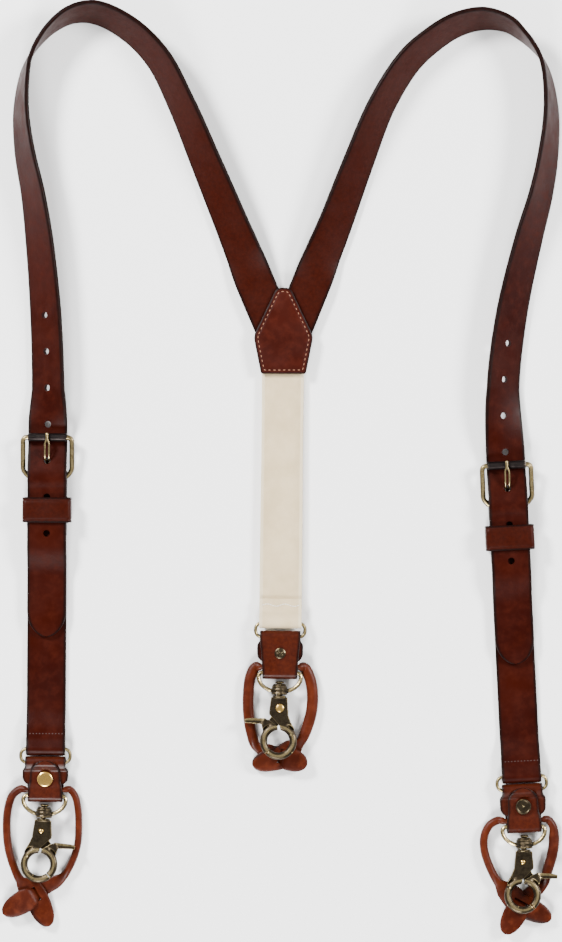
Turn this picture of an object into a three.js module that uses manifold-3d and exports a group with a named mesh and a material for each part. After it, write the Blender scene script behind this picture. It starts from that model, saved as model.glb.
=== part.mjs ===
// Leather Y-back suspenders laid flat: two shoulder straps sewn into a yoke, an elastic back band, two buckled
// front sides, and at each of the three ends a ring, a riveted tab, a button loop and a swivel trigger hook.
// Millimetres. X is across the wearer, +Y runs from the hooks to the shoulders, Z is up from the table at 0.
import * as THREE from 'three';
import { mergeVertices } from 'three/addons/utils/BufferGeometryUtils.js';
import Module from 'manifold-3d';

const wasm = await Module();
wasm.setup();

// ---------------------------------------------------------------- driving dimensions
const GAP = 0.3; // running clearance between neighbouring pieces

const strap = { width: 25, thickness: 2.8, hole: 4.4, pitch: 23.2, holesAbove: 4, holesBelow: 2, point: 17 };
const lower = { width: 25, thickness: 2.4, length: 178, flap: 37, ringFlap: 13 };
const elastic = { width: 27, thickness: 1.6, flap: 15.5, ringClearance: 0.6, cornerClearance: 0.22 };
const patch = { thickness: 1.8, height: 55, topWidth: 7.6, shoulderWidth: 38.2, shoulderDrop: 31, bottomWidth: 28.6 };
const yoke = { x: 2, y: 62, seatDepth: 16.5 };

const buckle = { wire: 3.2, side: 1.5, reach: 25.3, rise: 4.1, corner: 3 };
const roller = { diameter: 5.2 };
const prong = { wire: 2.2, overhang: 3, slotSide: 0.6 };
const pierce = { y: 10.5, slope: 1.5 }; // where the prong comes up through the strap, above the heel bar
const keeper = { wall: 1.8, height: 16, y: -21, side: 1.2 };

const ring = { wire: 2.2, width: 33.8, height: 11, corner: 4 };
const tab = { thickness: 2, neck: 25.6, bell: 29.4, tongue: 19.4, foldWidth: 22.6 };
const rivet = { shaft: 3, cap: 10, capHeight: 1.6, back: 7, backHeight: 0.8, y: -14.7 };

const eye = { wire: 3, width: 30.3, drop: 12.4, corner: 2.8 };
const hub = { radius: 5.2, top: 7.2, bottom: 14.2, bore: 2 };
const stem = { radius: 1.6, headRadius: 3, headHeight: 1.5, collarRadius: 4.4, collarHeight: 1.7, play: 0.4 };
const body = { thickness: 5.6, topWidth: 10.4, top: 15.8 };
const jaw = { y: -43.8, outer: 11.7, inner: 7.2, thickness: 4.6, splitAngle: -46 };
const pin = { x: -0.5, y: -22.7, radius: 1.1, headRadius: 2.7, headHeight: 0.8 };
const gate = { rootThickness: 1.6, rootRadius: 3, slotHalf: 1.8, leverLength: 21.8, leverThickness: 4 };
const spring = { wire: 0.5, radius: 1.95, turns: 1.5, rise: 0.8 };

const eyePlay = 0.4; // the eye bar sits this loosely in the tab's fold, so that it can lean
const cord = { diameter: 5.2, squeezed: 3 };
const leaf = { width: 14.5, neck: 9, thickness: 2 };

// heights of the stacked leathers, worked out from their thicknesses
const endZ = { front: 4.7, back: 6.1 }; // the middle of the front rings and of the back ring
const strapHalf = strap.thickness / 2;
const lowerHalf = lower.thickness / 2;
const flapZ = keeper.wall + GAP + lowerHalf;
const upperLayerZ = flapZ + lower.thickness + GAP;
const heelWrap = buckle.wire / 2 + GAP + lowerHalf;
const heelZ = heelWrap + lowerHalf;
const overHeelZ = heelZ + heelWrap + lowerHalf + GAP + strapHalf + 0.2;
const stackedZ = upperLayerZ + lowerHalf + GAP + strapHalf;
const rollerZ = heelZ + buckle.rise;
const underRollerZ = rollerZ - roller.diameter / 2 - GAP - strapHalf;
const yokeStrapLift = patch.thickness + GAP;
const flatEnd = -Math.max(lower.flap, 37) - 5; // the stack stays level this far below the heel bar
const settled = flatEnd - 22; // and lies on the table from here on
const settling = [0, 0.2, 0.4, 0.6, 0.8, 1].map((share) => flatEnd + share * (settled - flatEnd));

// ---------------------------------------------------------------- routes of the shoulder straps
// Each point: x, y and the strap's roll. Roll 0 lies flat with its grain down, 90 stands on edge, 180 lies grain up.
const leftRoute = [
  [3, 76, 0], [-15.5, 119, 0], [-23, 138, 24], [-31, 157.5, 33], [-47, 196, 42], [-63, 234, 50],
  [-78, 263, 54], [-97, 282, 58], [-118, 292, 63], [-133, 290.5, 74], [-145.5, 282.5, 84], [-155, 271.5, 92],
  [-160, 262, 98], [-163, 251, 105], [-165, 230, 113], [-163, 205, 120], [-157.5, 176.5, 127],
  [-153.5, 147, 135], [-149.5, 100, 143], [-148, 52, 147],
];
const rightRoute = [
  [2, 76, 0], [19.5, 119, 0], [27, 138, 24], [35, 157.5, 33], [49.5, 196, 42], [65, 234, 50],
  [82, 261, 54], [96, 274, 57], [112, 284, 60], [129, 288, 65], [145, 284.5, 76], [153.5, 278, 84],
  [160, 271.5, 90], [166, 263, 97], [170, 251, 104], [172.5, 228, 113], [170.5, 201, 121], [166, 176.5, 127],
  [158, 147, 135], [147.5, 100, 143], [142, 52, 147],
];

// ---------------------------------------------------------------- routes of the button loops
// In each end's own frame, from its ring's middle. left and right are the two cords' middles from the tab down,
// knot is where the leaves cross, and tipA and tipB are the leaves' ends. Leaf A carries the slit.
const loopRoutes = {
  left: {
    left: [[-16, -21.6], [-21, -25.5], [-24, -35], [-24.6, -48], [-23.3, -60], [-20, -71], [-16, -79.5]],
    right: [[15.5, -21.6], [19, -26], [21, -35], [21.4, -45], [20.8, -56.5], [17.3, -68], [11.5, -77.5]],
    knot: [-6.5, -89], tipA: [3.2, -109], tipB: [-26.5, -101],
  },
  right: {
    left: [[-16, -23.2], [-21.5, -25.8], [-25.6, -33], [-25.9, -42], [-22.7, -53.5], [-18, -63]],
    right: [[15.5, -24.2], [18.8, -29], [19.6, -38], [17.8, -47.5], [14.4, -57], [11.2, -65]],
    knot: [-5, -77.5], tipA: [14.5, -88], tipB: [-16, -95.5],
  },
  back: {
    left: [[-15.5, -24], [-19, -30], [-21, -40], [-20.5, -52], [-17.5, -63], [-13, -72]],
    right: [[15.5, -24], [18.6, -30], [20, -41], [19.6, -55], [17.5, -66.5], [14, -75]],
    knot: [-2.5, -81], tipA: [17, -86.5], tipB: [-18, -86],
  },
};

// ---------------------------------------------------------------- where the three ends and two buckles stand
const sides = {
  left: { x: -148.7, y: -3.8, lean: -0.4, route: leftRoute, handed: 1 },
  right: { x: 145.4, y: -21.5, lean: 2.85, route: rightRoute, handed: -1 },
};
const back = { x: 0, y: -101.5, lean: -0.6 };
const ends = {
  left: { foldDepth: 29.6, eyeLean: -1.3, swivelLean: -3.4, hookX: -0.4, hookTilt: -6, flip: 0 },
  right: { foldDepth: 31.8, eyeLean: -1.3, swivelLean: -3.6, hookX: -0.3, hookTilt: -6, flip: 0 },
  back: { foldDepth: 31.4, eyeLean: 0.6, swivelLean: 0, hookX: 0, hookTilt: 6, flip: Math.PI },
};

// ---------------------------------------------------------------- finishes
const finish = (color, roughness, metalness) => ({ color, roughness, metalness });
const finishes = {
  strapLeather: finish(0x5a2a1a, 0.5, 0),
  tabLeather: finish(0x80391d, 0.5, 0),
  loopLeather: finish(0x93451f, 0.55, 0),
  webbing: finish(0xd7cbb4, 0.85, 0),
  antiqueBrass: finish(0x6a5a3a, 0.4, 0.9),
  gunmetal: finish(0x3c3835, 0.45, 0.8),
  brightBrass: finish(0xd9a84a, 0.3, 0.95),
  springSteel: finish(0x9a9a98, 0.35, 0.9),
};

// ---------------------------------------------------------------- helpers
const vec = (x, y, z) => new THREE.Vector3(x, y, z);
const radians = THREE.MathUtils.degToRad;
const lerp = THREE.MathUtils.lerp;

const mesh = (name, geometry, look) => {
  const made = new THREE.Mesh(geometry, new THREE.MeshStandardMaterial(finishes[look]));
  made.name = name;
  return made;
};

// a closed body from positions and indices, with its faces turned outward
const bodyFrom = (positions, indices) => {
  let volume = 0;
  const corner = (n) => vec(...positions.slice(3 * n, 3 * n + 3));
  for (let i = 0; i < indices.length; i += 3) {
    const [a, b, c] = [corner(indices[i]), corner(indices[i + 1]), corner(indices[i + 2])];
    volume += a.dot(b.cross(c));
  }
  if (volume < 0) indices.reverse();
  const geometry = new THREE.BufferGeometry();
  geometry.setAttribute('position', new THREE.Float32BufferAttribute(positions, 3));
  geometry.setIndex(indices);
  geometry.computeVertexNormals();
  return geometry;
};

const rectangle = [[-0.5, -0.5], [0.5, -0.5], [0.5, 0.5], [-0.5, 0.5]];
const circle = (count) => Array.from({ length: count }, (_, k) => {
  const angle = (2 * Math.PI * (k + 0.5)) / count;
  return [Math.cos(angle) / 2, Math.sin(angle) / 2];
});

// a section carried along stations { at, across, normal, width, height }
const sweep = (stations, section, closed = false) => {
  const positions = [];
  for (const { at, across, normal, width, height } of stations) {
    for (const [u, v] of section) {
      const point = at.clone().addScaledVector(across, u * width).addScaledVector(normal, v * height);
      positions.push(point.x, point.y, point.z);
    }
  }
  const sides_ = section.length;
  const count = stations.length;
  const indices = [];
  for (let i = 0; i < (closed ? count : count - 1); i += 1) {
    const here = i * sides_;
    const next = ((i + 1) % count) * sides_;
    for (let j = 0; j < sides_; j += 1) {
      const k = (j + 1) % sides_;
      indices.push(here + j, here + k, next + j, here + k, next + k, next + j);
    }
  }
  if (!closed) {
    const last = (count - 1) * sides_;
    for (let j = 1; j < sides_ - 1; j += 1) {
      indices.push(0, j + 1, j, last, last + j, last + j + 1);
    }
  }
  return bodyFrom(positions, indices);
};

// a band folded in the YZ plane; each point of its middle line: y, z, width
const foldedBand = (path, thickness) => {
  const stations = path.map(([y, z, width], i) => {
    const before = path[Math.max(i - 1, 0)];
    const after = path[Math.min(i + 1, path.length - 1)];
    const along = vec(0, after[0] - before[0], after[1] - before[1]).normalize();
    return { at: vec(0, y, z), across: vec(1, 0, 0), normal: vec(0, -along.z, along.y), width, height: thickness };
  });
  return sweep(stations, rectangle);
};

// points of an arc in the YZ plane, for foldedBand
const fold = (y, z, radius, from, to, width, steps = 8) => Array.from({ length: steps + 1 }, (_, k) => {
  const angle = radians(lerp(from, to, k / steps));
  return [y + radius * Math.cos(angle), z + radius * Math.sin(angle), width];
});

// a closed wire along an outline in the XY plane
const wireLoop = (outline, diameter, sideCount = 6) => {
  const stations = outline.map((point, i) => {
    const before = outline[(i + outline.length - 1) % outline.length];
    const after = outline[(i + 1) % outline.length];
    const along = vec(after.x - before.x, after.y - before.y, 0).normalize();
    return {
      at: vec(point.x, point.y, 0), across: vec(along.y, -along.x, 0), normal: vec(0, 0, 1),
      width: diameter, height: diameter,
    };
  });
  return sweep(stations, circle(sideCount), true);
};

const roundedRectangle = (width, height, radius, centreY = 0, steps = 3) => {
  const points = [];
  const corners = [[1, 1, 0], [-1, 1, 90], [-1, -1, 180], [1, -1, 270]];
  for (const [sx, sy, start] of corners) {
    for (let k = 0; k <= steps; k += 1) {
      const angle = radians(start + (90 * k) / steps);
      const x = sx * (width / 2 - radius) + radius * Math.cos(angle);
      const y = sy * (height / 2 - radius) + radius * Math.sin(angle);
      points.push(new THREE.Vector2(x, y + centreY));
    }
  }
  return points;
};

// a rod along hand-set points
const rod = (points, diameter, steps, sideCount = 6) => {
  const section = new THREE.Shape(circle(sideCount).map(([x, y]) => new THREE.Vector2(x * diameter, y * diameter)));
  const path = new THREE.CatmullRomCurve3(points, false, 'centripetal');
  return new THREE.ExtrudeGeometry(section, { steps, extrudePath: path, bevelEnabled: false });
};

// a flat plate from a shape in the XY plane, centred on z
const plate = (shape, thickness, z = 0, curveSegments = 10) => {
  const geometry = new THREE.ExtrudeGeometry(shape, { depth: thickness, bevelEnabled: false, curveSegments });
  return geometry.translate(0, 0, z - thickness / 2);
};
const polygon = (points) => new THREE.Shape(points.map(([x, y]) => new THREE.Vector2(x, y)));
const lathe = (profile, segments = 14) => {
  const points = profile.map(([r, y]) => new THREE.Vector2(r, y));
  return new THREE.LatheGeometry(points, segments);
};
const cylinder = (radius, length, segments = 14) => new THREE.CylinderGeometry(radius, radius, length, segments);
const box = (width, depth, height) => new THREE.BoxGeometry(width, depth, height);

const toSolid = (geometry) => {
  const bare = geometry.clone();
  bare.deleteAttribute('normal');
  bare.deleteAttribute('uv');
  const merged = mergeVertices(bare, 1e-4);
  const index = Array.from(merged.index.array);
  const kept = [];
  for (let i = 0; i < index.length; i += 3) {
    const [a, b, c] = index.slice(i, i + 3);
    if (a !== b && b !== c && a !== c) kept.push(a, b, c);
  }
  const vertProperties = new Float32Array(merged.attributes.position.array);
  return new wasm.Manifold(new wasm.Mesh({ numProp: 3, vertProperties, triVerts: new Uint32Array(kept) }));
};
const toGeometry = (solid) => {
  const { vertProperties, triVerts } = solid.getMesh();
  const geometry = new THREE.BufferGeometry();
  geometry.setAttribute('position', new THREE.BufferAttribute(new Float32Array(vertProperties), 3));
  geometry.setIndex(new THREE.BufferAttribute(new Uint32Array(triVerts), 1));
  geometry.computeVertexNormals();
  return geometry;
};
const join = (...parts) => toGeometry(parts.map(toSolid).reduce((all, next) => all.add(next)));
const cut = (part, ...tools) => toGeometry(tools.map(toSolid).reduce((all, tool) => all.subtract(tool), toSolid(part)));

// a value read off a list of [position, value], with level ends and eased steps between
const eased = (table, position) => {
  if (position >= table[0][0]) return table[0][1];
  for (let i = 1; i < table.length; i += 1) {
    const [from, a] = table[i - 1];
    const [to, b] = table[i];
    if (position >= to) return lerp(a, b, THREE.MathUtils.smoothstep((from - position) / (from - to), 0, 1));
  }
  return table[table.length - 1][1];
};

// ---------------------------------------------------------------- shoulder straps
// the strap's middle height along the buckled side, by distance above the heel bar
const buckledHeights = [
  [buckle.reach + 2, underRollerZ],
  [buckle.reach - 2, underRollerZ],
  [0.5, overHeelZ],
  [-1.5, overHeelZ],
  [-9, stackedZ],
  [flatEnd, stackedZ],
  [settled, lower.thickness + GAP + strapHalf],
];
const tipReach = 102; // from the heel bar to the strap's point
const buckleStart = buckle.reach + 6; // the strap lies flat from here down

const strapCurves = ({ x, y, lean, route }) => {
  const turn = radians(lean);
  const placed = (distance) => [x - distance * Math.sin(turn), y + distance * Math.cos(turn)];
  const plan = route.map(([px, py]) => vec(px, py, 0));
  const facts = route.map(([, , roll]) => vec(roll, roll === 0 ? yokeStrapLift : 0, 0));
  for (const distance of [buckleStart, buckle.reach - 4, 12, 0, -24, flatEnd, settled, -82, -tipReach]) {
    plan.push(vec(...placed(distance), 0));
    facts.push(vec(180, underRollerZ - strapHalf, 0));
  }
  const aboveHeel = (at) => (at.y - y) * Math.cos(turn) - (at.x - x) * Math.sin(turn);
  return { plan: new THREE.CatmullRomCurve3(plan, false, 'centripetal'), facts, aboveHeel };
};

// one station of the strap at a share of its length
const strapStation = ({ plan, facts, aboveHeel }, handed, share) => {
  const t = plan.getUtoTmapping(share);
  const at = plan.getPoint(t);
  const along = plan.getTangent(t);
  const place = t * (facts.length - 1);
  const i = Math.min(Math.floor(place), facts.length - 2);
  const roll = radians(lerp(facts[i].x, facts[i + 1].x, place - i));
  const distance = aboveHeel(at);
  const buckled = distance < buckleStart && facts[i].x === 180;
  const lift = buckled ? eased(buckledHeights, distance) - strapHalf : lerp(facts[i].y, facts[i + 1].y, place - i);
  const outward = vec(along.y, -along.x, 0).multiplyScalar(handed);
  const across = outward.clone().multiplyScalar(Math.cos(roll)).add(vec(0, 0, Math.sin(roll)));
  const normal = outward.clone().multiplyScalar(-Math.sin(roll)).add(vec(0, 0, Math.cos(roll)));
  at.z = lift + (strap.width / 2) * Math.sin(roll) + strapHalf * Math.abs(Math.cos(roll));
  return { at, across, normal, width: strap.width, height: strap.thickness };
};

const shoulderStrap = (side) => {
  const curves = strapCurves(side);
  const length = curves.plan.getLength();
  const shareAt = (distance) => 1 - (tipReach + distance) / length;
  const upperSteps = 46;
  const pointSteps = 5;
  const stations = [];
  for (let k = 0; k < upperSteps; k += 1) {
    stations.push(strapStation(curves, side.handed, (k / upperSteps) * shareAt(buckleStart)));
  }
  const { reach } = buckle;
  const buckledSteps = [buckleStart, reach + 2, reach - 2, 18, 13, 8, 4, 0.5, -1.5, -5, -9, ...settling, -74];
  for (const distance of buckledSteps) stations.push(strapStation(curves, side.handed, shareAt(distance)));
  for (let k = 0; k <= pointSteps; k += 1) {
    const along = Math.sin((Math.PI / 2) * (k / pointSteps)) * 0.995;
    const station = strapStation(curves, side.handed, shareAt(strap.point * (1 - along) - tipReach));
    station.width = strap.width * Math.sqrt(1 - along * along);
    stations.push(station);
  }
  const holes = [];
  for (let k = -strap.holesBelow; k <= strap.holesAbove; k += 1) {
    const { at, normal } = strapStation(curves, side.handed, shareAt(pierce.y + k * strap.pitch));
    const drill = cylinder(strap.hole / 2, strap.thickness * 3, 10);
    drill.applyQuaternion(new THREE.Quaternion().setFromUnitVectors(vec(0, 1, 0), normal));
    holes.push(drill.translate(at.x, at.y, at.z));
  }
  // the two straps meet edge to edge on the yoke's middle line and stop short of the elastic
  const mitre = box(60, 120, 30).translate(yoke.x + side.handed * (30 - GAP / 2), yoke.y + 20, 0);
  const foot = box(120, 60, 30).translate(yoke.x, yoke.y + yoke.seatDepth + GAP - 30, 0);
  return cut(sweep(stations, rectangle), ...holes, mitre, foot);
};

// ---------------------------------------------------------------- yoke and elastic
const patchPlate = () => {
  const { height, topWidth, shoulderWidth, shoulderDrop, bottomWidth } = patch;
  const corners = [
    [bottomWidth / 2, 0], [shoulderWidth / 2, height - shoulderDrop], [topWidth / 2 + 0.6, height - 1],
    [topWidth / 2 - 1, height], [1 - topWidth / 2, height], [-topWidth / 2 - 0.6, height - 1],
    [-shoulderWidth / 2, height - shoulderDrop], [-bottomWidth / 2, 0],
  ];
  return plate(polygon(corners), patch.thickness);
};

const barY = (ring.height - ring.wire) / 2; // the ring's two bars lie this far from its middle

const elasticBand = () => {
  const { width, thickness, flap, ringClearance, cornerClearance } = elastic;
  // the band is wider than the ring's straight bar, so its edges pass where the ring's corners draw away
  const pastStraight = Math.max(width / 2 - (ring.width - ring.wire) / 2 + ring.corner, 0);
  const cornerDrop = ring.corner - Math.sqrt(Math.max(ring.corner ** 2 - pastStraight ** 2, 0));
  const wrap = ring.wire / 2 + Math.max(ringClearance, cornerDrop + cornerClearance) + thickness / 2;
  const topZ = yokeStrapLift + thickness / 2;
  const backZ = endZ.back - wrap;
  const top = yoke.y + yoke.seatDepth - back.y;
  return foldedBand([
    [top, topZ, width],
    [top - yoke.seatDepth - 4, topZ, width],
    [top - yoke.seatDepth - 50, (topZ + backZ) / 2, width],
    [20, backZ, width],
    ...fold(barY, endZ.back, wrap, 270, 90, width),
    [barY + 3, endZ.back + wrap * 0.75, width],
    [barY + 6.5, backZ + thickness + GAP + 0.1, width],
    [barY + flap, backZ + thickness + GAP, width],
  ], thickness);
};

// ---------------------------------------------------------------- buckled front side, from its heel bar
const lowerStrap = () => {
  const { width, thickness, length, flap, ringFlap } = lower;
  const ringWrap = ring.wire / 2 + GAP + thickness / 2;
  const ringBar = barY - length;
  const ringFlapZ = endZ.front - ringWrap;
  const overFlapZ = ringFlapZ + thickness + GAP;
  const band = foldedBand([
    [-flap, flapZ, width],
    [-11, flapZ, width],
    [-5, heelZ - heelWrap + 0.5, width],
    ...fold(0, heelZ, heelWrap, -90, 90, width),
    [-4, heelZ + heelWrap - 0.4, width],
    [-9, upperLayerZ, width],
    ...settling.map((y) => [y, eased([[flatEnd, upperLayerZ], [settled, lowerHalf]], y), width]),
    [ringBar + ringFlap + 12, lowerHalf, width],
    [ringBar + ringFlap, overFlapZ, width],
    [ringBar + 6, overFlapZ + 0.2, width],
    ...fold(ringBar, endZ.front, ringWrap, 90, 270, width),
    [ringBar + ringFlap, ringFlapZ, width],
  ], thickness);
  const slotWidth = prong.wire + 2 * prong.slotSide;
  const reach = heelWrap + thickness;
  const slot = box(slotWidth, 2 * reach, 4 * reach).translate(0, 0, heelZ);
  return cut(band, slot);
};

const frameWidth = strap.width + 2 * buckle.side + buckle.wire;
const frameTilt = Math.atan2(buckle.rise, buckle.reach);
const frameLength = Math.hypot(buckle.rise, buckle.reach);

const buckleFrame = () => {
  const outline = roundedRectangle(frameWidth, frameLength, buckle.corner, frameLength / 2);
  return wireLoop(outline, buckle.wire).rotateX(frameTilt).translate(0, 0, heelZ);
};

const buckleRoller = () => {
  const half = frameWidth / 2 - buckle.corner - GAP;
  const inner = buckle.wire / 2 + GAP;
  const outer = roller.diameter / 2;
  const profile = [[inner, -half], [outer, -half], [outer, half], [inner, half], [inner, -half]];
  return lathe(profile, 14).rotateZ(Math.PI / 2).translate(0, buckle.reach, rollerZ);
};

const buckleProng = () => {
  const loopRadius = buckle.wire / 2 + GAP + prong.wire / 2;
  const knuckle = new THREE.TorusGeometry(loopRadius, prong.wire / 2, 6, 14);
  knuckle.rotateY(Math.PI / 2).translate(0, 0, heelZ);
  const holeZ = eased(buckledHeights, pierce.y);
  const restZ = rollerZ + roller.diameter / 2 + GAP + prong.wire / 2;
  const shank = rod([
    vec(0, loopRadius * 0.8, heelZ + loopRadius * 0.6),
    vec(0, pierce.y - 4.6, holeZ - 3.1),
    vec(0, pierce.y - 1.6, holeZ - 1.6 * pierce.slope),
    vec(0, pierce.y, holeZ),
    vec(0, pierce.y + 1.5, holeZ + 1.5 * pierce.slope),
    vec(0, pierce.y + 5, restZ - 0.8),
    vec(0, buckle.reach, restZ),
    vec(0, buckle.reach + prong.overhang, restZ - 0.2),
  ], prong.wire, 16);
  return join(knuckle, shank);
};

const keeperLoop = () => {
  const innerWidth = strap.width + 2 * keeper.side;
  const innerTop = stackedZ + strapHalf + GAP;
  const innerHeight = innerTop - keeper.wall;
  const middleZ = keeper.wall + innerHeight / 2;
  const outline = new THREE.Shape(
    roundedRectangle(innerWidth + 2 * keeper.wall, innerHeight + 2 * keeper.wall, 2.2, 0, 3),
  );
  outline.holes.push(new THREE.Path(roundedRectangle(innerWidth, innerHeight, 0.6, 0, 2)));
  return plate(outline, keeper.height).rotateX(Math.PI / 2).translate(0, keeper.y, middleZ);
};

// ---------------------------------------------------------------- ring and tab, from the ring's middle
const ringWire = () => {
  const outline = roundedRectangle(ring.width - ring.wire, ring.height - ring.wire, ring.corner);
  return wireLoop(outline, ring.wire);
};

const tabWrap = ring.wire / 2 + GAP + 0.05 + tab.thickness / 2;
const stripZ = -tabWrap;
const bellZ = stripZ + tab.thickness + GAP;
const tongueZ = bellZ + tab.thickness + GAP;
const foldInner = Math.max(eye.wire, cord.squeezed) / 2 + GAP;
const foldRadius = foldInner + tab.thickness / 2;
const foldZ = stripZ + foldRadius;
const eyeY = (foldDepth) => tab.thickness + GAP + eyePlay + eye.wire / 2 - foldDepth;
const cordY = (foldDepth) => eyeY(foldDepth) + (eye.wire + cord.squeezed) / 2 + GAP + eyePlay;

const capGap = GAP + 0.2; // the cap clears the tongue where it starts to bend

const tabBlank = (foldDepth) => {
  const { thickness, neck, bell, tongue, foldWidth } = tab;
  const foldY = tab.thickness + foldInner - foldDepth;
  const bellEnd = cordY(foldDepth) + cord.squeezed / 2 + 2 * GAP;
  const overRing = tabWrap + thickness + GAP;
  const band = foldedBand([
    [bellEnd, bellZ, bell - 9], [bellEnd + 0.8, bellZ, bell - 5.5], [bellEnd + 2.2, bellZ, bell - 2.6],
    [bellEnd + 4.5, bellZ, bell - 0.8], [bellEnd + 7, bellZ, bell], [-barY - 5.6, bellZ, (bell + neck) / 2],
    [-barY - 3, (bellZ + tabWrap) / 2, neck + 0.4],
    ...fold(-barY, 0, tabWrap, 90, -90, neck),
    [rivet.y, stripZ, (neck + foldWidth) / 2],
    ...fold(foldY, foldZ, foldRadius, -90, -270, foldWidth),
    [cordY(foldDepth) + 0.8, foldZ + foldRadius, foldWidth - 0.6],
    [cordY(foldDepth) + 1.9, tongueZ + 0.1, tongue + 1],
    [cordY(foldDepth) + 3.5, tongueZ, tongue],
    [-barY - 5, tongueZ, tongue], [-barY - 3.2, lerp(tongueZ, overRing, 0.5), tongue - 1.2],
    [-barY - 1, overRing, tongue - 4.4], [-barY + 0.8, overRing + 0.1, tongue - 9.5],
    [-barY + 1.6, overRing + 0.1, 4],
  ], thickness);
  const hole = cylinder(rivet.shaft / 2 + GAP, 30, 10).rotateX(Math.PI / 2).translate(0, rivet.y, 0);
  return cut(band, hole);
};

const rivetStud = () => {
  const seat = stripZ - tab.thickness / 2 - GAP;
  const shaftTop = tongueZ + tab.thickness / 2 + capGap + rivet.capHeight / 2 - GAP;
  const { shaft, back: disc, backHeight } = rivet;
  return lathe([
    [0, seat - backHeight], [disc / 2 - 0.8, seat - backHeight], [disc / 2, seat - backHeight / 2],
    [disc / 2, seat], [shaft / 2, seat], [shaft / 2, shaftTop], [0, shaftTop],
  ]).rotateX(Math.PI / 2).translate(0, rivet.y, 0);
};

const rivetCap = () => {
  const seat = tongueZ + tab.thickness / 2 + capGap;
  const socket = rivet.shaft / 2 + GAP;
  const { cap, capHeight } = rivet;
  return lathe([
    [0, seat + capHeight / 2], [socket, seat + capHeight / 2], [socket, seat], [cap / 2, seat],
    [cap / 2, seat + capHeight * 0.45], [cap / 2 - 0.8, seat + capHeight * 0.85], [0, seat + capHeight],
  ]).rotateX(Math.PI / 2).translate(0, rivet.y, 0);
};

// ---------------------------------------------------------------- button loop
const buttonLoop = (route, foldDepth, flipped) => {
  // heights count from the ring's middle, away from the table on the front ends and toward it on the back one
  const table = flipped ? endZ.back : -endZ.front;
  const away = flipped ? -1 : 1;
  const level = (height) => table + away * height;
  const level1 = level(leaf.thickness / 2);
  const level2 = level(leaf.thickness * 1.5 + GAP);
  const level3 = level(leaf.thickness * 2.5 + 2 * GAP);
  const y = cordY(foldDepth);
  const flat = (points, z) => points.map(([px, py]) => vec(px, py, z));
  const throughFold = tab.foldWidth / 2 + 1;
  const laid = level(cord.diameter / 2 + 0.4);
  const halfCord = (branch, side, endZ_) => {
    const points = [vec(0, y, foldZ), vec(side * throughFold, y, foldZ), ...flat(branch, laid)];
    points[points.length - 1].z = endZ_;
    return rod(points, cord.diameter, 18, 6);
  };
  const squeeze = (geometry) => {
    // the cord is pressed thinner where the tab's fold grips it
    const position = geometry.attributes.position;
    for (let i = 0; i < position.count; i += 1) {
      const reach = Math.abs(position.getX(i));
      if (reach > throughFold + 3.5 || position.getY(i) < y - cord.diameter) continue;
      const share = THREE.MathUtils.smoothstep(reach, throughFold, throughFold + 3.5);
      const scale = lerp(cord.squeezed / cord.diameter, 1, share);
      position.setY(i, y + (position.getY(i) - y) * scale);
      position.setZ(i, foldZ + (position.getZ(i) - foldZ) * scale);
    }
    return geometry;
  };
  const ribbon = (points, widths) => {
    const curve = new THREE.CatmullRomCurve3(points, false, 'centripetal');
    const heights = points.map((point) => point.z);
    const stations = [];
    const steps = 10;
    for (let k = 0; k <= steps; k += 1) {
      const at = curve.getPoint(k / steps);
      at.z = THREE.MathUtils.clamp(at.z, Math.min(...heights), Math.max(...heights));
      const along = curve.getTangent(k / steps);
      const across = vec(along.y, -along.x, 0).normalize();
      const place = (k / steps) * (widths.length - 1);
      const i = Math.min(Math.floor(place), widths.length - 2);
      const width = lerp(widths[i], widths[i + 1], place - i);
      stations.push({ at, across, normal: across.clone().cross(along).normalize(), width, height: leaf.thickness });
    }
    return sweep(stations, rectangle);
  };
  const knot = vec(...route.knot, level2);
  const startA = vec(...route.left[route.left.length - 1], level2);
  const tipA = vec(...route.tipA, level2);
  const startB = vec(...route.right[route.right.length - 1], level1);
  const tipB = vec(...route.tipB, level3);
  const { width, neck } = leaf;
  const leafA = ribbon(
    [startA, startA.clone().lerp(knot, 0.5), knot, knot.clone().lerp(tipA, 0.5), tipA],
    [cord.diameter, width * 0.85, width, width, width * 0.9, width * 0.75, 3],
  );
  const toTip = tipB.clone().sub(knot).setZ(0).normalize();
  const before = knot.clone().addScaledVector(toTip, -2.2).setZ(level1);
  const after = knot.clone().addScaledVector(toTip, 2.4).setZ(level3);
  const leafB = ribbon(
    [startB, startB.clone().lerp(before, 0.5), before, after, after.clone().lerp(tipB, 0.5), tipB],
    [cord.diameter, neck, neck, neck, neck, width * 0.95, width, width * 0.8, 3],
  );
  const slit = box(neck + 2 * GAP, 5.2, 12);
  slit.rotateZ(Math.atan2(toTip.y, toTip.x) + Math.PI / 2).translate(knot.x, knot.y, knot.z);
  const cordLeft = squeeze(halfCord(route.left, -1, level2));
  const cordRight = squeeze(halfCord(route.right, 1, laid));
  return join(cut(leafA, slit), leafB, cordLeft, cordRight);
};

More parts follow.
